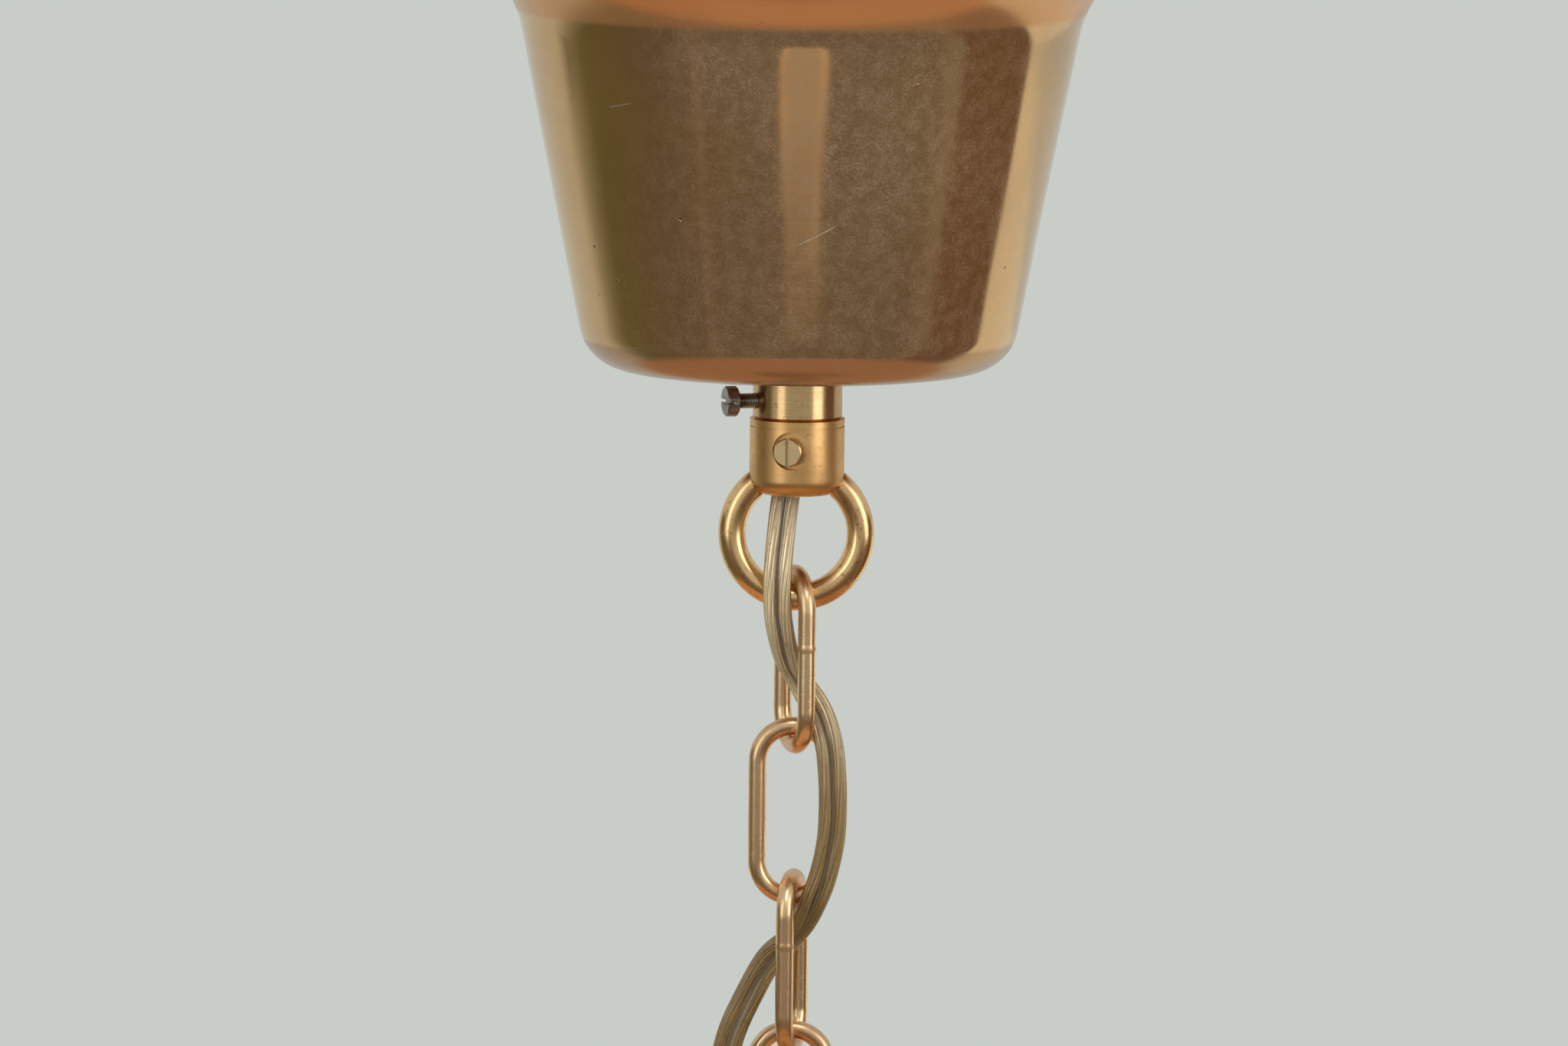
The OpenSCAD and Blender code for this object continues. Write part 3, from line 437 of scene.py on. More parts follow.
# Radians that the strands wind from one point of the line to the next
STRAND_LAY = 0.07
FLEX_STEPS = 4
FLEX_ROUTE = [
    (0, 0, -25), (0, 0, -34), (0, 0, -46), (0, 0, -58), (0, 0, -70), (0, 0, -82), (-0.3, 0, -90),
    (-0.9, 0, -96), (-2.1, -0.3, -102.5), (-2.9, -2.6, -109.5), (-3.4, -4.7, -116), (-3.5, -4.9, -121),
    (-3, -4.5, -126.5), (-1.4, -3, -133), (1.6, -1.2, -138.5), (4.8, -2.9, -143.5), (6.6, -4, -149),
    (7.3, -4.1, -155), (7.5, -4.1, -161), (7.2, -4.1, -167.5), (5.9, -4.1, -174), (4.2, -3.8, -179),
    (2, -1.8, -184), (-1.2, -0.4, -188), (-4.6, -1, -191.5), (-8, -2.6, -197.5), (-11.2, -3.6, -204.5),
    (-12.8, -3.7, -211.5), (-12.8, -3.7, -219), (-11, -3.7, -227), (-7.9, -3.8, -234.5),
    (-5.6, -3.4, -239.5), (-2.9, -1.3, -244.5), (0.2, -0.4, -249), (3.9, -1.2, -254), (7.4, -3.5, -260.5),
    (9.3, -4, -268), (10, -4, -276), (9.2, -4, -284), (7.6, -3.9, -290), (5.6, -3.7, -295),
    (3.4, -2, -299.5), (0.4, -0.5, -304), (-2.6, -1.7, -309), (-4.3, -3.9, -314.5), (-5.3, -4.5, -320.5),
    (-5.1, -4.4, -325.5), (-3.9, -2.6, -331.5), (-2.6, -0.9, -336.5), (-1.7, -0.2, -341), (-0.7, 0, -346.5),
    (0, 0, -352), (0, 0, -360), (0, 0, -368.3)]
FLEX_LAY = [0, 0, 0, 0, 0, 0, 0, 0, 0, 4, 8, 10, 14, 24, 30, 14, 4, 0, -2, -4, -6, -10, -22, -26,
            -14, -6, 0, 2, 4, 2, 0, 6, 16, 18, 12, 4, 0, -2, -4, -6, -10, -20, -24, -16, -6, 0, 0, 0, 0, 0,
            0, 0, 0, 0]
# Heights of the joints that the flex crosses, from the barrel down, where it is cut into stretches
SWING_CUTS = [-103, -135.7, -164.45, -193.65, -222.85, -252.05, -281.25, -310.45, -341]


def twin_section():
    """Outline of the flat flex: two round lobes with a web between them, a little sunk where its
    dark line of painted shade lies."""
    waist = math.pi - math.asin(FLEX_WEB / FLEX_LOBE)
    lobe = [(FLEX_LOBE + FLEX_LOBE * math.cos(a), FLEX_LOBE * math.sin(a))
            for a in (waist * (k / LOBE_STEPS - 1) for k in range(2 * LOBE_STEPS + 1))]
    web = [(SHADE_LINE_HALF, WEB_SUNK * FLEX_WEB), (-SHADE_LINE_HALF, WEB_SUNK * FLEX_WEB)]
    return lobe + web + [(-u, -v) for u, v in lobe + web]


flex_line = smooth_route(FLEX_ROUTE, FLEX_STEPS)
flex_sides = []
for index, heading in enumerate(directions(flex_line)):
    spot = index / FLEX_STEPS
    before = min(int(spot), len(FLEX_LAY) - 2)
    lay = math.radians(FLEX_LAY[before] + (spot - before) * (FLEX_LAY[before + 1] - FLEX_LAY[before]))
    across = (Vector((1, 0, 0)) - heading.x * heading).normalized()
    flex_sides.append(math.cos(lay) * across + math.sin(lay) * heading.cross(across))
cut_at = [0]
for z in SWING_CUTS:
    cut_at.append(min(range(len(flex_line)), key=lambda i: abs(flex_line[i].z - z * MM)))
cut_at.append(len(flex_line) - 1)
TWIN = twin_section()
# Faces of the groove that take an opaque dark strip, painted shade where the lobes meet.
SHADE_LINE_FACES = [k for k in range(len(TWIN))
               if abs(TWIN[k][0]) + abs(TWIN[(k + 1) % len(TWIN)][0]) < 3 * SHADE_LINE_HALF]
groove_shade_line = Finish("flex_groove")
groove_shade_line.show(groove_shade_line.mix(groove_shade_line.noise(400, 3), SHADE_LINE_DARK, SHADE_LINE_BROWN), 0.5,
                 groove_shade_line.noise(1500) * 0.02)


def add_layer(piece, word, values, kind="FLOAT", field="value"):
    """Gives the piece's points values that its finish reads."""
    layer = piece.data.attributes.new(word, kind, "POINT")
    layer.data.foreach_set(field, np.array(values, np.float32))


def flex_stretch(name, first, last, finish, section, centre=0.0):
    """Piece of the flex between two points of its line, open at both ends."""
    route = [flex_line[i] for i in range(first, last + 1)]
    sides = flex_sides[first:last + 1]
    if centre:
        route = [p + centre * side for p, side in zip(route, sides)]
    piece = swept(name, route, sides, lambda i: section(first + i), capped=False)
    groove = [max(1 - abs(u) / FLEX_GROOVE, (abs(u) - FLEX_RIM) / FLEX_GROOVE, 0.0)
              for u, v in section(first)]
    add_layer(piece, "groove", groove * len(route))
    piece.data.materials.append(finish.material)
    return piece


for stretch in range(len(cut_at) - 1):
    first, last = cut_at[stretch], cut_at[stretch + 1]
    made = [flex_stretch("flex_%d" % stretch, first, last, clear_sheath, lambda i: TWIN)]
    made[0].data.materials.append(groove_shade_line.material)
    for face in made[0].data.polygons:
        face.material_index = int(face.index % len(TWIN) in SHADE_LINE_FACES)
    made[0].visible_shadow = False
    cores = [flex_stretch("core", first, last, strand_metal,
                          lambda i: strand_section(FLEX_CORE_R, STRAND_LAY * i), side * FLEX_LOBE)
             for side in (-1, 1)]
    made.append(joined("flex_strands_%d" % stretch, cores))
    for piece in made:
        if stretch == 0:
            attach(piece, "root")
        elif stretch == len(cut_at) - 2:
            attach(piece, "lamp")
        else:
            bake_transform(piece)
    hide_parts("flex")


# Canopy
# A deep cup spun from 1 mm brass sheet, with its mouth flared and rolled into a bead. It is still
# a mirror under its brown patina and a fine, leathery haze. Its flare is painted coppery and its
# lower bend brown, as painted reflection.
# Lengths in millimetres, and lean, mouth and lap in degrees
CANOPY = {"height": 77.9, "floor": 32.2, "bend": 9.5, "lean": 11.2, "flare": 20, "mouth": 62, "lap": 4,
          "sheet": 1.0, "bead": 1.3, "hole": 5.3}
SPUN_AROUND = 288
SPUN_DEPTH = 0.05 * MM
PATINA_GOLD = (0.74, 0.48, 0.23)
PATINA_BROWN = (0.5, 0.29, 0.14)
FLARE_PAINTED_REFLECTION = (0.63, 0.24, 0.07)
BEND_PAINTED_REFLECTION = (0.44, 0.27, 0.15)
PATINA_HAZE = (0.5, 0.37, 0.28)
PATINA_PIT = (0.1, 0.07, 0.05)
PATINA_SCRATCH = (0.95, 0.86, 0.7)
# Places of the haze's thickest blooms on the front, each with its reach
HAZE_BLOOMS = [((20 * MM, -48 * MM, -28 * MM), 38 * MM), ((-16 * MM, -52 * MM, -16 * MM), 24 * MM)]
# Heights over which the bend's painted brown reflection ends, above the canopy's base, and the
# flare's painted coppery reflection begins
PAINTED_BEND_ENDS = (5.2 * MM, 6.6 * MM)
PAINTED_FLARE_BEGINS = (-10.9 * MM, -9.5 * MM)
# Two scratches across the front, as (x, z) points, with their half width and how far they bow
SCRATCH_LONG = [(-1.4 * MM, -51 * MM), (8.4 * MM, -46 * MM)]
SCRATCH_SHORT = [(-36 * MM, -26 * MM), (-30.5 * MM, -24.6 * MM)]
SCRATCH_HALF = 0.16 * MM
SCRATCH_BOW = 9


def arc(centre, r, start, end, steps):
    """Points of an arc in the plane of a spun outline, with its angles in degrees."""
    angles = [math.radians(start + (end - start) * i / steps) for i in range(steps + 1)]
    return [(centre[0] + r * math.cos(a), centre[1] + r * math.sin(a)) for a in angles]


def rows_between(a, b, count):
    """Points spaced evenly between two points of an outline, without its ends."""
    return [(a[0] + (b[0] - a[0]) * i / count, a[1] + (b[1] - a[1]) * i / count) for i in range(1, count)]


def spun_wave(depth):
    """Form for turned(): the shallow waves that the spinning tool leaves in a thin sheet."""
    def form(r, z, turn):
        wave = np.sin(3 * turn + z / (19 * MM)) + 0.6 * np.sin(5 * turn - z / (11 * MM) + 1.3) \
            + 0.35 * np.sin(11 * turn + z / (7 * MM) + 0.4)
        fade = np.clip((r - 20 * MM) / (20 * MM), 0, 1)
        return r + depth * wave * fade, z
    return form


def canopy_outline(base_z):
    c = CANOPY
    lean, mouth = math.radians(c["lean"]), math.radians(c["mouth"])
    side = (c["height"] - c["bend"] * (1 - math.sin(lean))
            - c["flare"] * (math.sin(mouth) - math.sin(lean))) / math.cos(lean)
    bend_c = (c["floor"], c["bend"])
    reach = c["bend"] + c["flare"]
    flare_c = (bend_c[0] + side * math.sin(lean) + reach * math.cos(lean),
               bend_c[1] + side * math.cos(lean) - reach * math.sin(lean))
    bead_at = c["flare"] + c["sheet"] - c["bead"]
    bead_c = (flare_c[0] - bead_at * math.cos(mouth), flare_c[1] + bead_at * math.sin(mouth))
    bead_from = math.degrees(math.acos(c["sheet"] / c["bead"] - 1))
    turn_end = 180 - c["mouth"] + c["lap"]
    outer_bend = arc(bend_c, c["bend"], -90, -c["lean"], 14)
    outer_flare = arc(flare_c, c["flare"], 180 - c["lean"], turn_end, 18)
    inner_flare = arc(flare_c, c["flare"] + c["sheet"], turn_end, 180 - c["lean"], 18)
    inner_bend = arc(bend_c, c["bend"] - c["sheet"], -c["lean"], -90, 14)
    outline = [(c["hole"], 0)] + rows_between((c["hole"], 0), outer_bend[0], 6) + outer_bend \
        + rows_between(outer_bend[-1], outer_flare[0], 24) + outer_flare \
        + arc(bead_c, c["bead"], -c["mouth"] - bead_from, 180 - c["mouth"], 22) + inner_flare \
        + rows_between(inner_flare[-1], inner_bend[0], 24) + inner_bend \
        + rows_between(inner_bend[-1], (c["hole"], c["sheet"]), 6) + [(c["hole"], c["sheet"])]
    return [(r * MM, base_z + z * MM) for r, z in outline]


def scratch(skin, x, z, start, end):
    """1 on a fine scratch of the front from one (x, z) point to another, and 0 away from it."""
    reach = math.dist(start, end)
    way = ((end[0] - start[0]) / reach, (end[1] - start[1]) / reach)
    along = (x - start[0]) * way[0] + (z - start[1]) * way[1]
    bow = (along - 0.5 * reach) * (along - 0.5 * reach) * SCRATCH_BOW
    off = (x - start[0]) * way[1] - (z - start[1]) * way[0] + bow
    near = skin.step(abs(off), SCRATCH_HALF, 0.3 * SCRATCH_HALF)
    return near * skin.step(along, 0.0, 0.2 * reach) * skin.step(along, reach, 0.6 * reach)


def patina_and_reflection(name, painted_bend_zone, painted_flare_zone):
    """Browned brass under old lacquer. A fine light haze lies on it in blooms. Painted reflection
    makes the zone above the flare heights coppery and the zone below the bend heights brown."""
    skin = Finish(name)
    x, y, z = (skin.node("SeparateXYZ", {}, {0: skin.place}, axis) for axis in range(3))
    clouds = skin.step(skin.noise(24, 4), 0.36, 0.66)
    blooms = skin.step(skin.noise(24, 1), 0.25, 0.7) * 0.3 + 0.38
    for spot, reach in HAZE_BLOOMS:
        off = skin.node("VectorMath", {"operation": "DISTANCE"}, {0: skin.place, 1: spot}, 1)
        blooms = blooms + skin.step(off, reach, 0.0) * 0.35
    blooms = blooms * (skin.step(x, -38 * MM, -14 * MM) * 0.85 + 0.15)
    leather = skin.step(skin.noise(2300, 2), 0.3, 0.68)
    dots = skin.step(skin.noise(5200, 1), 0.3, 0.68)
    hairs = skin.step(abs(skin.noise(190, 3) - 0.5), 0.007, 0.002) * skin.step(skin.noise(45, 2), 0.56, 0.7)
    lines = skin.noise(900, 3, (0.05, 0.05, 1))
    pits = skin.step(skin.noise(330, 1), 0.79, 0.82)
    # Painted reflection: the flare zone is painted coppery and the bend zone brown, both duller and less
    # metallic.
    flare = skin.step(z, painted_flare_zone[0], painted_flare_zone[1])
    bend = skin.step(z, painted_bend_zone[1], painted_bend_zone[0])
    mottle = skin.step(skin.noise(380, 3), 0.34, 0.66)
    haze = (dots * 0.5 + 0.5) * (leather * 0.5 + 0.5) * (mottle * 0.4 + 0.6) * blooms
    haze = haze * (1 - flare * 0.8 - bend * 0.7)
    haze = haze + hairs * 0.35
    base = skin.mix(clouds * 0.4 + lines * 0.2, PATINA_GOLD, PATINA_BROWN)
    base = skin.mix(flare * 0.5, base, FLARE_PAINTED_REFLECTION)
    base = skin.mix(bend * 0.9, base, BEND_PAINTED_REFLECTION)
    base = skin.mix(haze * 0.75, base, PATINA_HAZE)
    base = skin.mix(pits, base, PATINA_PIT)
    marks = scratch(skin, x, z, *SCRATCH_LONG) + scratch(skin, x, z, *SCRATCH_SHORT)
    marks = marks * skin.step(y, 0.0, -10 * MM)
    base = skin.mix(marks * 0.8, base, PATINA_SCRATCH)
    skin.show(base, 0.075 + haze * 0.12 + clouds * 0.03 + marks * 0.2 + bend * 0.12 + flare * 0.12,
              haze * 0.0009 + lines * 0.003 - pits * 0.05 - marks * 0.01)
    skin.feed(skin.shader, {"Metallic": 1.0 - haze * 0.5 - pits * 0.5 - bend * 0.1 - flare * 0.3})
    return skin


canopy_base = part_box("canopy")[0].z
canopy_patina_and_reflection = patina_and_reflection("canopy_patina_and_reflection", [canopy_base + up for up in PAINTED_BEND_ENDS], PAINTED_FLARE_BEGINS)
canopy = turned("canopy_shell", canopy_outline(canopy_base), SPUN_AROUND, spun_wave(SPUN_DEPTH), 60)
fit(canopy, "canopy", "canopy_brass", canopy_patina_and_reflection, "canopy")


# Stop collar and its clamping screw
# The collar is a turned brass ring that slides on the stem and holds the canopy up. Its screw is
# blackened steel with a slotted cheese head, and its thread shows between the head and the collar.
CLAMP_TURN = math.radians(197)
CLAMP_UP = 3.4 * MM
CLAMP = {"r": 1.5 * MM, "len": 7 * MM, "head_r": 2.9 * MM, "head_h": 2.3 * MM, "tip": 5.05 * MM,
         "bevel": 0.28 * MM, "slot_deep": 1.035 * MM, "slot_wide": 0.7 * MM}
CLAMP_THREAD = {"pitch": 0.5 * MM, "depth": 0.26 * MM}
BLACK_STEEL = (0.2, 0.18, 0.16)
STEEL_RUB = (0.5, 0.47, 0.43)
COLLAR_CLEAN = (0.68, 0.46, 0.23)


def slot_cut(piece, low, head_r, width):
    """Cuts a screwdriver slot across a head that stands up along z, from the height low up."""
    high = low + head_r
    x, y = 2 * head_r, width / 2
    corners = [(sx * x, sy * y, z) for z in (low, high) for sx, sy in ((-1, -1), (1, -1), (1, 1), (-1, 1))]
    faces = [(3, 2, 1, 0), (4, 5, 6, 7)] + [(k, (k + 1) % 4, 4 + (k + 1) % 4, 4 + k) for k in range(4)]
    cutter = shaped("slot_cutter", corners, faces)
    cut = piece.modifiers.new("slot", "BOOLEAN")
    cut.operation = "DIFFERENCE"
    cut.object = cutter
    graph = bpy.context.evaluated_depsgraph_get()
    mesh = bpy.data.meshes.new_from_object(piece.evaluated_get(graph))
    piece.modifiers.clear()
    piece.data = mesh
    bpy.data.objects.remove(cutter)


clamp_steel = plated_steel("black_steel", BLACK_STEEL, STEEL_RUB)
tip_z = CLAMP["tip"]
head_z = tip_z + CLAMP["len"]
top_z = head_z + CLAMP["head_h"]
head_r, bevel = CLAMP["head_r"], CLAMP["bevel"]
clamp_rows = thread_rows(CLAMP["r"], tip_z, head_z, CLAMP_THREAD["pitch"])
clamp_outline = [(0, tip_z)] + clamp_rows + [
    (head_r - bevel, head_z), (head_r, head_z + bevel), (head_r, top_z - bevel), (head_r - bevel, top_z),
    (0, top_z)]
clamp_form = threaded(CLAMP["r"], tip_z, head_z, **CLAMP_THREAD)
clamp = turned("clamping_screw", clamp_outline, TUBE_AROUND, clamp_form, 40)
slot_cut(clamp, top_z - CLAMP["slot_deep"], head_r, CLAMP["slot_wide"])
clamp_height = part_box("stop_collar")[0].z + CLAMP_UP
clamp_way = Vector((math.cos(CLAMP_TURN), math.sin(CLAMP_TURN), 0))
clamp.matrix_world = clamp_way.to_track_quat("Z", "Y").to_matrix().to_4x4()
clamp.matrix_world.translation = Vector((0, 0, clamp_height))
bpy.context.view_layer.update()
clamp.data.transform(clamp.matrix_world)
clamp.matrix_world.identity()
fit(clamp, "clamp_screw", "dark_steel", clamp_steel, "clamp_screw")
collar_brass = brass("collar_brass", COLLAR_CLEAN, BRASS_TARNISH, rough=0.17, lines=(0.05, 0.05, 1))
collar_brass.dress("stop_collar")


# Barrel, locking screw and ring
# The barrel is turned brass, screwed on the stem's lower end and locked by a slotted screw on a
# spot-faced flat. The ring is thick drawn wire with both ends let into the barrel.
BARREL_CLEAN = (0.87, 0.53, 0.22)
BARREL_BROWN = (0.52, 0.27, 0.1)
RING_CLEAN = (0.95, 0.63, 0.31)
RING_BROWN = (0.48, 0.24, 0.11)
SCREW_CLEAN = (0.8, 0.6, 0.34)

barrel_brass = brass("barrel_brass", BARREL_CLEAN, BARREL_BROWN, rough=0.3, lines=(0.05, 0.05, 1))
ring_brass = brass("ring_brass", RING_CLEAN, RING_BROWN, rough=0.17, lines=(1, 1, 1), line_scale=500,
                   wear=1.6)
screw_brass = brass("screw_brass", SCREW_CLEAN, BRASS_TARNISH, rough=0.28, lines=(1, 0.3, 1),
                    line_scale=1500)
barrel_brass.dress("loop_barrel", "lower_barrel")
ring_brass.dress("loop_ring", "lower_ring")
screw_brass.dress("barrel_screw", "lower_screw")


# Chain
# Seven oval links of drawn brass wire. Each is bent round and butt-welded on one straight side,
# which leaves a low seam, and its bends are browner towards their crowns, where the links hang in each
# other.
LINK_TURNS = [-71, 0, -101.7, 0, -82, 0, -97]
LINK_WIRE_R = 1.7 * MM
LINK_MID_R = 6.9 * MM
LINK_REACH = 32.8 * MM
LINK_AROUND = 28
LINK_STEPS = 240
SEAM_RISE = 0.07 * MM
SEAM_WIDTH = 0.35 * MM
# Height of each seam above the link's middle, in millimetres
SEAM_UP = [2.8, -1.5, 4.2, -3.0, 0.6, 2.1, -2.2]
CHAIN_CLEAN = (0.98, 0.68, 0.4)
CHAIN_BROWN = (0.5, 0.26, 0.13)


def link_path(top_z, turn, seam_up):
    """Centre line of a link, with how near each point is to a bend's crown and to the seam."""
    flat = Vector((math.cos(turn), math.sin(turn), 0))
    straight = LINK_REACH - 2 * LINK_MID_R
    bend = math.pi * LINK_MID_R
    total = 2 * (straight + bend)
    middle = top_z - LINK_REACH / 2
    path, crown, seam = [], [], []
    for i in range(LINK_STEPS):
        s = total * i / LINK_STEPS
        if s < bend:
            a = s / LINK_MID_R
            x, z = LINK_MID_R * math.cos(a), straight / 2 + LINK_MID_R * math.sin(a)
        elif s < bend + straight:
            x, z = -LINK_MID_R, straight / 2 - (s - bend)
        elif s < 2 * bend + straight:
            a = math.pi + (s - bend - straight) / LINK_MID_R
            x, z = LINK_MID_R * math.cos(a), -straight / 2 + LINK_MID_R * math.sin(a)
        else:
            x, z = LINK_MID_R, -straight / 2 + (s - 2 * bend - straight)
        path.append(Vector((0, 0, middle + z)) + x * flat)
        crown.append(min(1.0, max(0.0, (abs(z) - straight / 2) / LINK_MID_R)))
        seam.append(math.exp(-((z - seam_up * MM) / SEAM_WIDTH) ** 2) if x > 0.99 * LINK_MID_R else 0.0)
    return path, crown, seam


def chain_finish():
    wire = Finish("chain_brass", {"Metallic": 1.0})
    crown = wire.node("Attribute", {"attribute_name": "crown"}, output=2)
    seam = wire.node("Attribute", {"attribute_name": "seam"}, output=2)
    clouds = wire.step(wire.noise(70, 4), 0.42, 0.66)
    specks = wire.step(wire.noise(800, 3), 0.5, 0.68)
    draw = wire.noise(1500, 2, (1, 1, 0.08))
    brown = clouds * 0.35 + specks * 0.15 + crown * 0.35 + seam * 0.6
    wire.show(wire.mix(brown, CHAIN_CLEAN, CHAIN_BROWN), 0.24 + specks * 0.06 + clouds * 0.08 + seam * 0.2,
              specks * -0.004 + draw * 0.006)
    return wire


chain_brass = chain_finish()
for number, turn in enumerate(LINK_TURNS, 1):
    node = "link_%d" % number
    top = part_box(node)[1].z - LINK_WIRE_R
    path, crown, seam = link_path(top, math.radians(turn), SEAM_UP[number - 1])
    normal = Vector((-math.sin(math.radians(turn)), math.cos(math.radians(turn)), 0))
    link = swept("chain_" + node, path, [normal] * len(path),
                 lambda i: round_section(LINK_WIRE_R + SEAM_RISE * seam[i], LINK_AROUND), closed=True)
    add_layer(link, "crown", np.repeat(crown, LINK_AROUND))
    add_layer(link, "seam", np.repeat(seam, LINK_AROUND))
    fit(link, node, "chain_brass", chain_brass, node)


# Nipple and washer over the shade
# The lower barrel is the upper one turned over. A threaded brass nipple comes down from it through
# a turned washer and the shade, and the lampholder screws onto its end.
nipple_low, nipple_high = (corner.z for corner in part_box("lower_nipple"))
nipple = threaded_tube("nipple", STEM_R, STEM_BORE, nipple_low, nipple_high, **STEM_THREAD)
fit(nipple, "lamp", "fitting_brass", turned_brass, "lower_nipple")
turned_brass.dress("shade_washer")


# Shade
# A bell spun from the same sheet as the canopy and given the same patina and painted reflections,
# with a rolled bead at its mouth. It is held between the washer and the lampholder.
# Lengths in millimetres, and the leans and the shoulder in degrees
SHADE = {"hole": 5.15, "top": 15, "bend": 7, "neck_lean": 6, "neck": 22, "flare": 40, "shoulder": 70,
         "round": 38, "skirt_lean": 10, "skirt": 16, "sheet": 1.0, "bead": 1.5}


def shade_outline(top_z):
    s = SHADE
    neck, shoulder, skirt = (math.radians(s[k]) for k in ("neck_lean", "shoulder", "skirt_lean"))
    neck_c = (s["top"], -s["bend"])
    reach = s["bend"] + s["flare"]
    flare_c = (neck_c[0] + s["neck"] * math.sin(neck) + reach * math.cos(neck),
               neck_c[1] - s["neck"] * math.cos(neck) + reach * math.sin(neck))
    reach = s["flare"] + s["round"]
    round_c = (flare_c[0] - reach * math.cos(shoulder), flare_c[1] - reach * math.sin(shoulder))
    out, down = (math.cos(skirt), math.sin(skirt)), (math.sin(skirt), -math.cos(skirt))
    rim = tuple(round_c[i] + s["round"] * out[i] + s["skirt"] * down[i] for i in (0, 1))
    bead_c = tuple(rim[i] + (s["bead"] - s["sheet"]) * out[i] for i in (0, 1))
    bead_from = math.degrees(math.acos(s["sheet"] / s["bead"] - 1))
    bends = [arc(neck_c, s["bend"], 90, s["neck_lean"], 12),
             arc(flare_c, s["flare"], 180 + s["neck_lean"], 180 + s["shoulder"], 22),
             arc(round_c, s["round"], s["shoulder"], s["skirt_lean"], 22)]
    inner = [arc(round_c, s["round"] - s["sheet"], s["skirt_lean"], s["shoulder"], 22),
             arc(flare_c, s["flare"] + s["sheet"], 180 + s["shoulder"], 180 + s["neck_lean"], 22),
             arc(neck_c, s["bend"] - s["sheet"], s["neck_lean"], 90, 12)]
    bead = arc(bead_c, s["bead"], s["skirt_lean"] + bead_from, s["skirt_lean"] - 180, 22)
    outline = [(s["hole"], 0)] + bends[0] + rows_between(bends[0][-1], bends[1][0], 10) + bends[1] \
        + bends[2] + rows_between(bends[2][-1], bead[0], 8) + bead \
        + rows_between(bead[-1], inner[0][0], 8) + inner[0] + inner[1] \
        + rows_between(inner[1][-1], inner[2][0], 10) + inner[2] + [(s["hole"], -s["sheet"])]
    return [(r * MM, top_z + z * MM) for r, z in reversed(outline)]


shade_top, shade_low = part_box("shade")[1].z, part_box("shade")[0].z
# Painted reflection: the shade's lowest 9 mm are painted brown and its top 6 mm coppery, as on the canopy.
shade_patina_and_reflection = patina_and_reflection("shade_patina_and_reflection", (shade_low, shade_low + 9 * MM), (shade_top - 6 * MM, shade_top))
shade = turned("shade_shell", shade_outline(shade_top), SPUN_AROUND, spun_wave(SPUN_DEPTH), 60)
fit(shade, "lamp", "shade_brass", shade_patina_and_reflection, "shade")


# Lampholder
# A pressed brass cap and sleeve round a glazed porcelain body. The threaded sleeve that takes the
# bulb is rolled from thin brass, and the contacts under it are spring bronze.
CAP_PITCH = 3.62 * MM
THREAD_IN = 13.4 * MM
THREAD_OUT = 14.3 * MM
THREAD_SHEET = 0.3 * MM
THREAD_AROUND = 72
HOLDER_CLEAN = (0.68, 0.46, 0.22)
BRONZE = (0.72, 0.43, 0.22)
BRONZE_DARK = (0.42, 0.22, 0.12)
PORCELAIN = (0.82, 0.81, 0.77)
PORCELAIN_SPECK = (0.5, 0.44, 0.36)
HOLDER_ROUTE = [(1.35, 0, -11.1), (1.6, -0.3, -12.6), (2.6, -1.6, -14.6), (3.7, -2.2, -15.4),
                (4.8, -2.2, -15.6)]

holder_brass = brass("holder_brass", HOLDER_CLEAN, BRASS_TARNISH, rough=0.24, lines=(0.05, 0.05, 1))
holder_brass.dress("holder_cap", "holder_sleeve")
porcelain = glazed("porcelain", PORCELAIN, PORCELAIN_SPECK, 0.15)
porcelain.dress("holder_porcelain")
bronze = brass("contact_bronze", BRONZE, BRONZE_DARK, rough=0.24, lines=(1, 1, 1), line_scale=700)
bronze.dress("centre_contact", "holder_plates")
zinc.dress("holder_screws")
bare_copper.dress("lower_wire_ends")


def rolled_thread(name, r_in, r_out, low, high, sheet):
    """Thin sleeve whose wall is rolled into a round thread between two radii."""
    inner = thread_rows(r_in, low, high, CAP_PITCH, steps=14)
    outer = [(r_in + sheet, z) for r, z in reversed(inner)]

    def form(r, z, turn):
        wave = 0.5 - 0.5 * np.cos(2 * math.pi * (z / CAP_PITCH - turn / (2 * math.pi)))
        fade = np.clip(np.minimum(z - low, high - z) / (0.6 * CAP_PITCH), 0, 1)
        return r + (r_out - r_in - sheet) * wave * fade, z

    return turned(name, outer + inner, THREAD_AROUND, form, 60)


sleeve_low, sleeve_high = (corner.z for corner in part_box("holder_thread"))
sleeve = rolled_thread("bulb_sleeve", THREAD_IN, THREAD_OUT, sleeve_low, sleeve_high, THREAD_SHEET)
fit(sleeve, "lamp", "fitting_brass", turned_brass, "holder_thread")
holder_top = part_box("holder_cap")[1].z
right_lead = [p + Vector((0, 0, holder_top)) for p in smooth_route(HOLDER_ROUTE, LEAD_STEPS)]
left_lead = [Vector((-p.x, -p.y, p.z)) for p in right_lead]
round_leads("lower_cores", "lamp", [right_lead, left_lead], "lower_leads")


# Bulb
# A small clear globe with a filament on two wires, melted to a glass stem. Its screw cap is rolled
# aluminium, closed by black glass with a drop of solder for its contact.
CAP_OUT = 13.1 * MM
CAP_IN = 12.2 * MM
CAP_SHEET = 0.35 * MM
GLOBE_R = 22.5 * MM
GLASS_T = 0.8 * MM
GLOBE_DROP = 27 * MM
GLOBE_AROUND = 128
GLOBE_STEPS = 48
# Half angle at the globe's centre that its neck takes up, in degrees
NECK_ANGLE = 52
NECK_R = 12.4 * MM
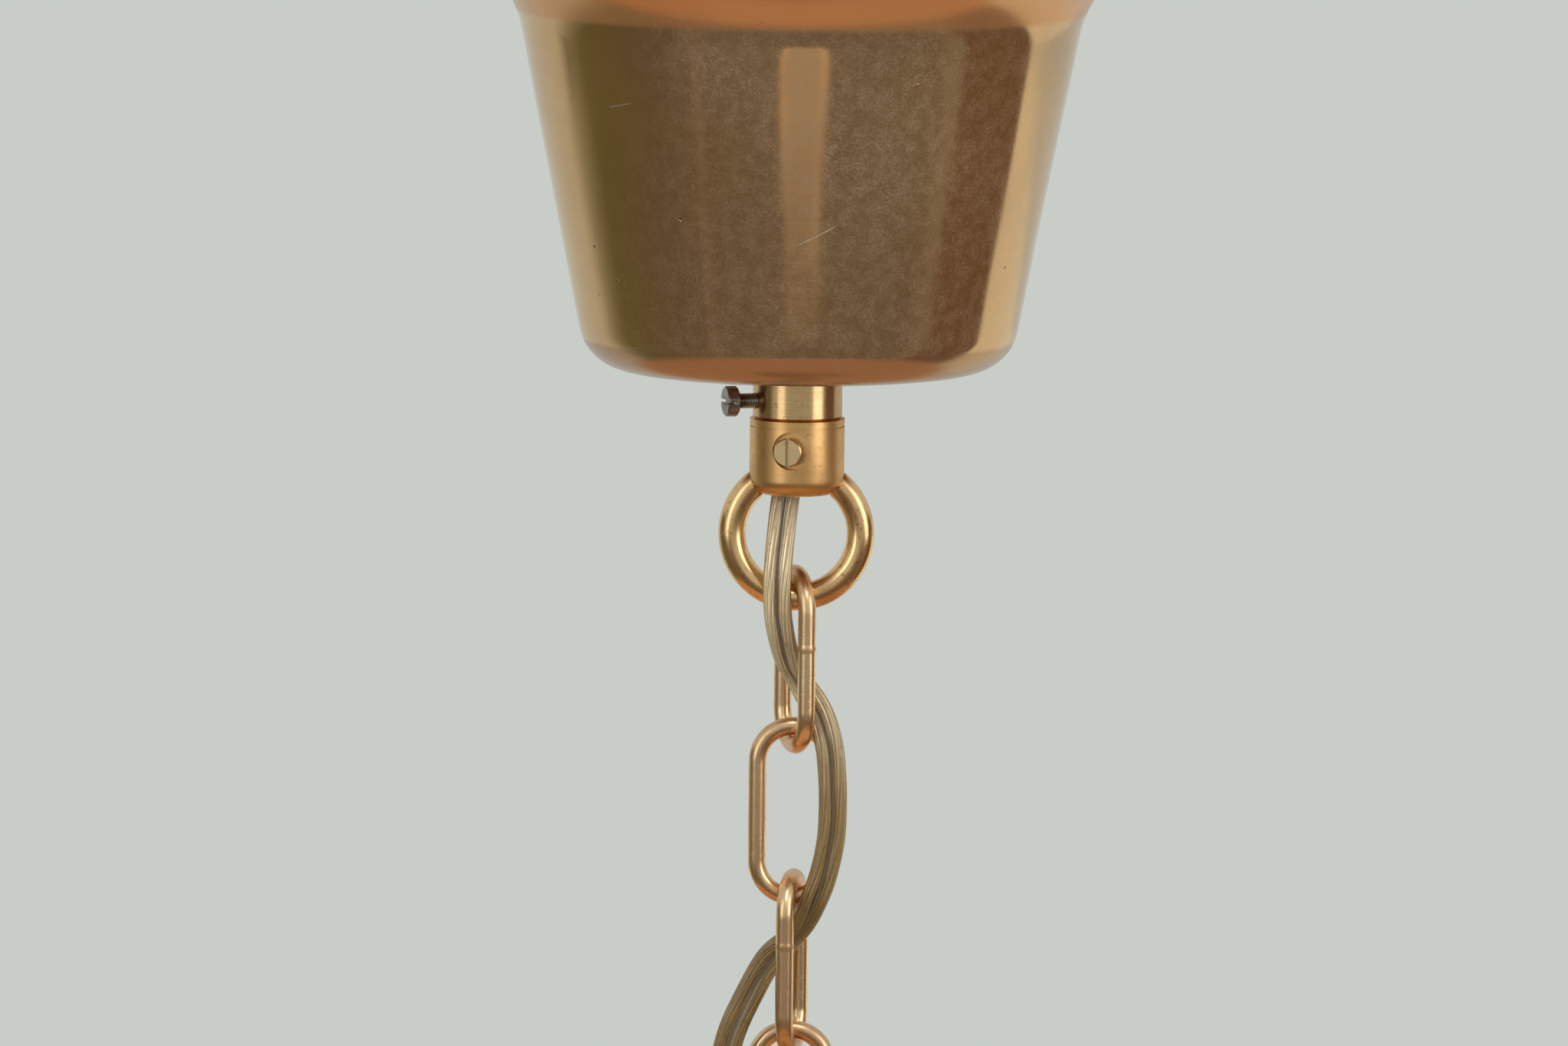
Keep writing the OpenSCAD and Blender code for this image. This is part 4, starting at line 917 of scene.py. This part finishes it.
# How far the neck has widened at some depths under the cap
NECK_SWELL = [(0, 4 * MM), (0.25 * MM, 5.6 * MM), (0.75 * MM, 7.2 * MM)]
ALUMINIUM = (0.78, 0.78, 0.77)
ALUMINIUM_DULL = (0.55, 0.55, 0.55)
SOLDER = (0.6, 0.6, 0.6)
SOLDER_DULL = (0.35, 0.35, 0.36)
BLACK_GLASS = (0.02, 0.02, 0.022)
BLACK_GLASS_WORN = (0.05, 0.045, 0.05)
GLASS = (0.98, 0.99, 0.98)
GLASS_DUSTY = (0.93, 0.95, 0.94)

aluminium = plated_steel("bulb_aluminium", ALUMINIUM, ALUMINIUM_DULL)
cap_low, cap_high = (corner.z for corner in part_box("bulb_cap"))
cap = rolled_thread("screw_cap", CAP_IN, CAP_OUT, cap_low, cap_high, CAP_SHEET)
fit(cap, "bulb", "bulb_metal", aluminium, "bulb_cap")

black_glass = Finish("black_glass", {"Specular IOR Level": 0.6})
black_glass.show(black_glass.mix(black_glass.noise(300), BLACK_GLASS, BLACK_GLASS_WORN), 0.12,
                 black_glass.noise(200) * 0.05)
black_glass.dress("bulb_insulator")
solder = plated_steel("solder", SOLDER, SOLDER_DULL)
solder.dress("bulb_contact")


def glass_finish(name):
    glass = Finish(name, {"Transmission Weight": 1.0, "IOR": 1.5})
    seeds = glass.step(glass.noise(260, 2), 0.7, 0.74)
    dust = glass.noise(90, 3)
    colour = glass.mix(dust * 0.3, GLASS, GLASS_DUSTY)
    glass.show(colour, 0.01 + dust * 0.04 + seeds * 0.05, seeds * 0.02 + dust * 0.02)
    return glass


clear_glass = glass_finish("bulb_glass")
globe_z = cap_low - GLOBE_DROP
neck_top = (NECK_R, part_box("bulb_glass")[1].z)
neck = [(NECK_R + out, cap_low - drop) for out, drop in NECK_SWELL]
globe_outer = [neck_top] + rows_between(neck_top, neck[0], 8) + neck \
    + arc((0, globe_z), GLOBE_R, 90 - NECK_ANGLE, -90, GLOBE_STEPS)
globe_inner = arc((0, globe_z), GLOBE_R - GLASS_T, -90, 90 - NECK_ANGLE, GLOBE_STEPS) \
    + [(r - GLASS_T, z) for r, z in reversed([neck_top] + neck)]
globe_outline = [(r if r > 1e-9 else 0, z) for r, z in reversed(globe_outer + globe_inner)]
globe = turned("bulb_globe", globe_outline, GLOBE_AROUND, None, 70)
fit(globe, "bulb", "bulb_clear", clear_glass, "bulb_glass")
clear_glass.dress("bulb_stem")

# Tungsten wire wound into a fine coil between the stem's two wires
COIL_TURNS = 24
COIL_STEPS = 12
COIL_R = 0.45 * MM
COIL_HALF = 9 * MM
COIL_DROP = 2 * MM
WIRE_R = 0.12 * MM
LEAD_WIRE_R = 0.3 * MM
TUNGSTEN = (0.2, 0.2, 0.21)
TUNGSTEN_DARK = (0.1, 0.1, 0.11)

coil_z = globe_z - COIL_DROP
stem_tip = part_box("bulb_stem")[0].z
tungsten = plated_steel("tungsten", TUNGSTEN, TUNGSTEN_DARK)
coil = [Vector((COIL_HALF * (2 * t - 1), COIL_R * math.sin(2 * math.pi * COIL_TURNS * t),
                coil_z + COIL_R * math.cos(2 * math.pi * COIL_TURNS * t)))
        for t in (i / (COIL_TURNS * COIL_STEPS) for i in range(COIL_TURNS * COIL_STEPS + 1))]
wires = [swept("coil", coil, carried_sides(coil, Vector((0, 0, 1))), lambda i: round_section(WIRE_R, 6))]
for side in (-1, 1):
    run = [Vector((side * 1.1 * MM, 0, stem_tip - 0.05 * MM)),
           Vector((side * 1.5 * MM, 0, stem_tip - 3 * MM)),
           Vector((side * 8.3 * MM, 0, coil_z + 4 * MM)), Vector((side * COIL_HALF, 0, coil_z))]
    run = smooth_route([p / MM for p in run], 6)
    sides = carried_sides(run, Vector((0, 1, 0)))
    wires.append(swept("wire", run, sides, lambda i: round_section(LEAD_WIRE_R, 10)))
fit(joined("filament_coil", wires), "bulb", "tungsten", tungsten, "filament")


# Floor, room and lamps
# A plain pale floor well below the light, and a pale room round it. The dark screens, the lit
# strip and the warm ground stand where the brass mirrors them, and only reflections show them.
FLOOR_Z = -1.6
FLOOR_R = 1.7
FLOOR_THICK = 0.01
PALE = (0.578, 0.61, 0.578)
PALE_SHADED = tuple(0.96 * c for c in PALE)
AMBIENT = 0.6
# Radii and heights of the screens in metres, and the step of their azimuths in degrees
SCREEN_R = 0.7
STRIP_R = 0.68
SCREEN_JOIN = -0.215
SCREEN_FOOT = -0.549
GROUND_Z = -0.55
SCREEN_STEP = 0.5
SCREEN_OLIVE = (0.155, 0.155, 0.075)
SCREEN_LEFT = (0.135, 0.108, 0.08)
SCREEN_LINE = (0.2, 0.165, 0.12)
SCREEN_MIDDLE = (0.14, 0.12, 0.1)
SCREEN_STREAK = (0.19, 0.16, 0.12)
SCREEN_RUST = (0.13, 0.065, 0.035)
SCREEN_BRIGHT = (0.82, 0.81, 0.68)
STRIP = (0.46, 0.39, 0.3)
STRIP_EDGE = (0.7, 0.53, 0.36)
STRIP_TAPER = 0.7
GROUND = (0.54, 0.31, 0.16)
LAMP_AIM = Vector((0, 0, -0.15))

floor_under = FLOOR_Z - FLOOR_THICK
floor_outline = [(FLOOR_R, FLOOR_Z), (FLOOR_R, floor_under), (0, floor_under), (0, FLOOR_Z)]
floor = turned("floor", floor_outline, 96)
floor_paint = Finish("floor_paint")
floor_paint.show(floor_paint.mix(floor_paint.noise(3, 3), PALE, PALE_SHADED), 0.6)
floor.data.materials.append(floor_paint.material)


def screen(name, rows, stops, taper=0.0):
    """Curved screen round the axis that only reflections show. Its rows give radius, height and
    cover, and its stops give azimuth, cover and glow, with straight ramps between them. The last
    row is narrower than the first by the share taper."""
    azimuths = np.arange(stops[0][0], stops[-1][0] + SCREEN_STEP / 2, SCREEN_STEP)
    given = [stop[0] for stop in stops]
    cover = np.interp(azimuths, given, [stop[1] for stop in stops])
    glow = [np.interp(azimuths, given, [stop[2][k] for stop in stops]) for k in range(3)]
    points, faces, levels, tones = [], [], [], []
    middle = (azimuths[0] + azimuths[-1]) / 2
    for i, azimuth in enumerate(azimuths):
        for k, (radius, height, share) in enumerate(rows):
            way = math.radians(middle + (azimuth - middle) * (1 - taper * k / (len(rows) - 1)))
            points.append((radius * math.sin(way), -radius * math.cos(way), height))
            levels.append(share * cover[i])
            tones += [glow[0][i], glow[1][i], glow[2][i], 1.0]
    count = len(rows)
    for i in range(len(azimuths) - 1):
        for k in range(count - 1):
            a = i * count + k
            faces.append((a, a + count, a + count + 1, a + 1))
    piece = shaped(name, points, faces)
    add_layer(piece, "cover", levels)
    add_layer(piece, "glow", tones, "FLOAT_COLOR", "color")
    paint = Finish(name + "_paint", {"Base Color": (0, 0, 0), "Specular IOR Level": 0.0,
                                     "Emission Strength": 1.0})
    paint.feed(paint.shader, {
        "Emission Color": paint.node("Attribute", {"attribute_name": "glow"}, output=0),
        "Alpha": paint.step(paint.node("Attribute", {"attribute_name": "cover"}, output=2), 0.0, 1.0)})
    piece.data.materials.append(paint.material)
    piece.visible_camera = False
    piece.visible_diffuse = False
    piece.visible_shadow = False
    piece.visible_transmission = False


# Rows of the two screens that stand on the long one and darken the flare's sides
HIGH_ROWS = [(SCREEN_R, 0.02, 0), (SCREEN_R, -0.02, 1), (SCREEN_R, SCREEN_JOIN, 1)]
# The stops of each screen run from the left over the front, at 0, to the right
screen("dark_side",
       [(SCREEN_R, -0.18, 0), (SCREEN_R, SCREEN_JOIN, 1), (SCREEN_R, -0.53, 1), (0.66, SCREEN_FOOT, 1),
        (0.5, SCREEN_FOOT, 1), (0.42, SCREEN_FOOT, 0)],
       [(-127, 0.0, SCREEN_OLIVE), (-116, 0.5, SCREEN_OLIVE), (-100, 1, SCREEN_OLIVE), (-66, 1, SCREEN_LEFT),
        (-49, 1, SCREEN_LEFT), (-46, 1, SCREEN_LINE), (-43, 1, SCREEN_LEFT), (-8, 1, SCREEN_MIDDLE),
        (15, 1, SCREEN_MIDDLE), (60, 1, SCREEN_LEFT), (65, 1, SCREEN_STREAK), (70, 1, SCREEN_LINE),
        (74, 1, SCREEN_RUST), (108, 1, SCREEN_RUST), (110, 1, SCREEN_LEFT), (111, 1, SCREEN_BRIGHT),
        (140, 1, SCREEN_BRIGHT), (165, 0, SCREEN_BRIGHT)])
screen("dark_left", HIGH_ROWS,
       [(-122, 0, SCREEN_LEFT), (-112, 1, SCREEN_LEFT), (-72, 1, SCREEN_LEFT), (-66, 0, SCREEN_LEFT)])
screen("dark_right", HIGH_ROWS,
       [(70, 0, SCREEN_RUST), (76, 1, SCREEN_RUST), (110, 1, SCREEN_RUST), (111, 0, SCREEN_RUST)])
screen("lit_strip",
       [(STRIP_R, -0.301, 0), (STRIP_R, -0.309, 1), (STRIP_R, -0.375, 1), (STRIP_R, -0.397, 0)],
       [(-14.5, 0, STRIP_EDGE), (-14, 1, STRIP_EDGE), (-11.5, 1, STRIP_EDGE), (-10.5, 1, STRIP),
        (11, 1, STRIP), (12, 1, STRIP_EDGE), (16, 1, STRIP_EDGE), (16.5, 0, STRIP_EDGE)], STRIP_TAPER)
screen("warm_ground", [(0.62, GROUND_Z, 0), (0.5, GROUND_Z, 1), (0.0, GROUND_Z, 1)],
       [(-180, 1, GROUND), (180, 1, GROUND)])


def soft_lamp(name, azimuth, elevation, distance, width, height, glow):
    """Rectangular soft lamp that faces the chain, with its glow as the brightness of its face."""
    light = bpy.data.lights.new(name, "AREA")
    light.shape = "RECTANGLE"
    light.size = width
    light.size_y = height
    light.energy = glow * width * height * math.pi
    lamp = bpy.data.objects.new(name, light)
    a, e = math.radians(azimuth), math.radians(elevation)
    away = Vector((math.sin(a) * math.cos(e), -math.cos(a) * math.cos(e), math.sin(e)))
    lamp.location = LAMP_AIM + distance * away
    lamp.rotation_euler = away.to_track_quat("Z", "Y").to_euler()
    lamp.visible_camera = False
    bpy.context.scene.collection.objects.link(lamp)


soft_lamp("right_lamp", azimuth=54, elevation=14, distance=0.65, width=0.3, height=0.44, glow=1.9)
soft_lamp("left_lamp", azimuth=-42, elevation=14, distance=0.65, width=0.22, height=0.44, glow=1.3)
soft_lamp("top_lamp", azimuth=12, elevation=52, distance=1.1, width=0.45, height=0.45, glow=3.2)

# The room's walls show their colour where they are seen, and light the lamp at a plain level
world = bpy.data.worlds.new("pale_room")
world.use_nodes = True
bpy.context.scene.world = world
room = Nodes(world.node_tree)
direct = room.node("LightPath", output="Is Camera Ray")
mirrored = room.node("LightPath", output="Is Glossy Ray")
through = room.node("LightPath", output="Is Transmission Ray")
seen = direct.highest(mirrored).highest(through)
room.feed(world.node_tree.nodes["Background"], {"Color": room.mix(seen, (AMBIENT,) * 3, PALE)})
bpy.context.scene.view_settings.view_transform = "Standard"


# Camera
# It stands two metres off, a little above the chain, and looks down by a few degrees, so the
# canopy's bead leaves the top of the frame and the fourth link leaves the bottom.
CAMERA_OFF = 2.0
CAMERA_DOWN = math.radians(6.7)
CAMERA_ROLL = math.radians(0.585)
CAMERA_AIM = Vector((-2.33, 0, -107.45)) * MM
VIEW_WIDTH = 0.2977
SENSOR_WIDTH = 36

camera = bpy.data.objects.new("camera", bpy.data.cameras.new("camera"))
camera.data.sensor_width = SENSOR_WIDTH
camera.data.lens = SENSOR_WIDTH * CAMERA_OFF / VIEW_WIDTH
ahead = Vector((0, math.cos(CAMERA_DOWN), -math.sin(CAMERA_DOWN)))
camera.rotation_euler = (-ahead).to_track_quat("Z", "Y").to_euler()
camera.rotation_euler.rotate_axis("Z", CAMERA_ROLL)
camera.location = CAMERA_AIM - CAMERA_OFF * ahead
bpy.context.scene.collection.objects.link(camera)
bpy.context.scene.camera = camera
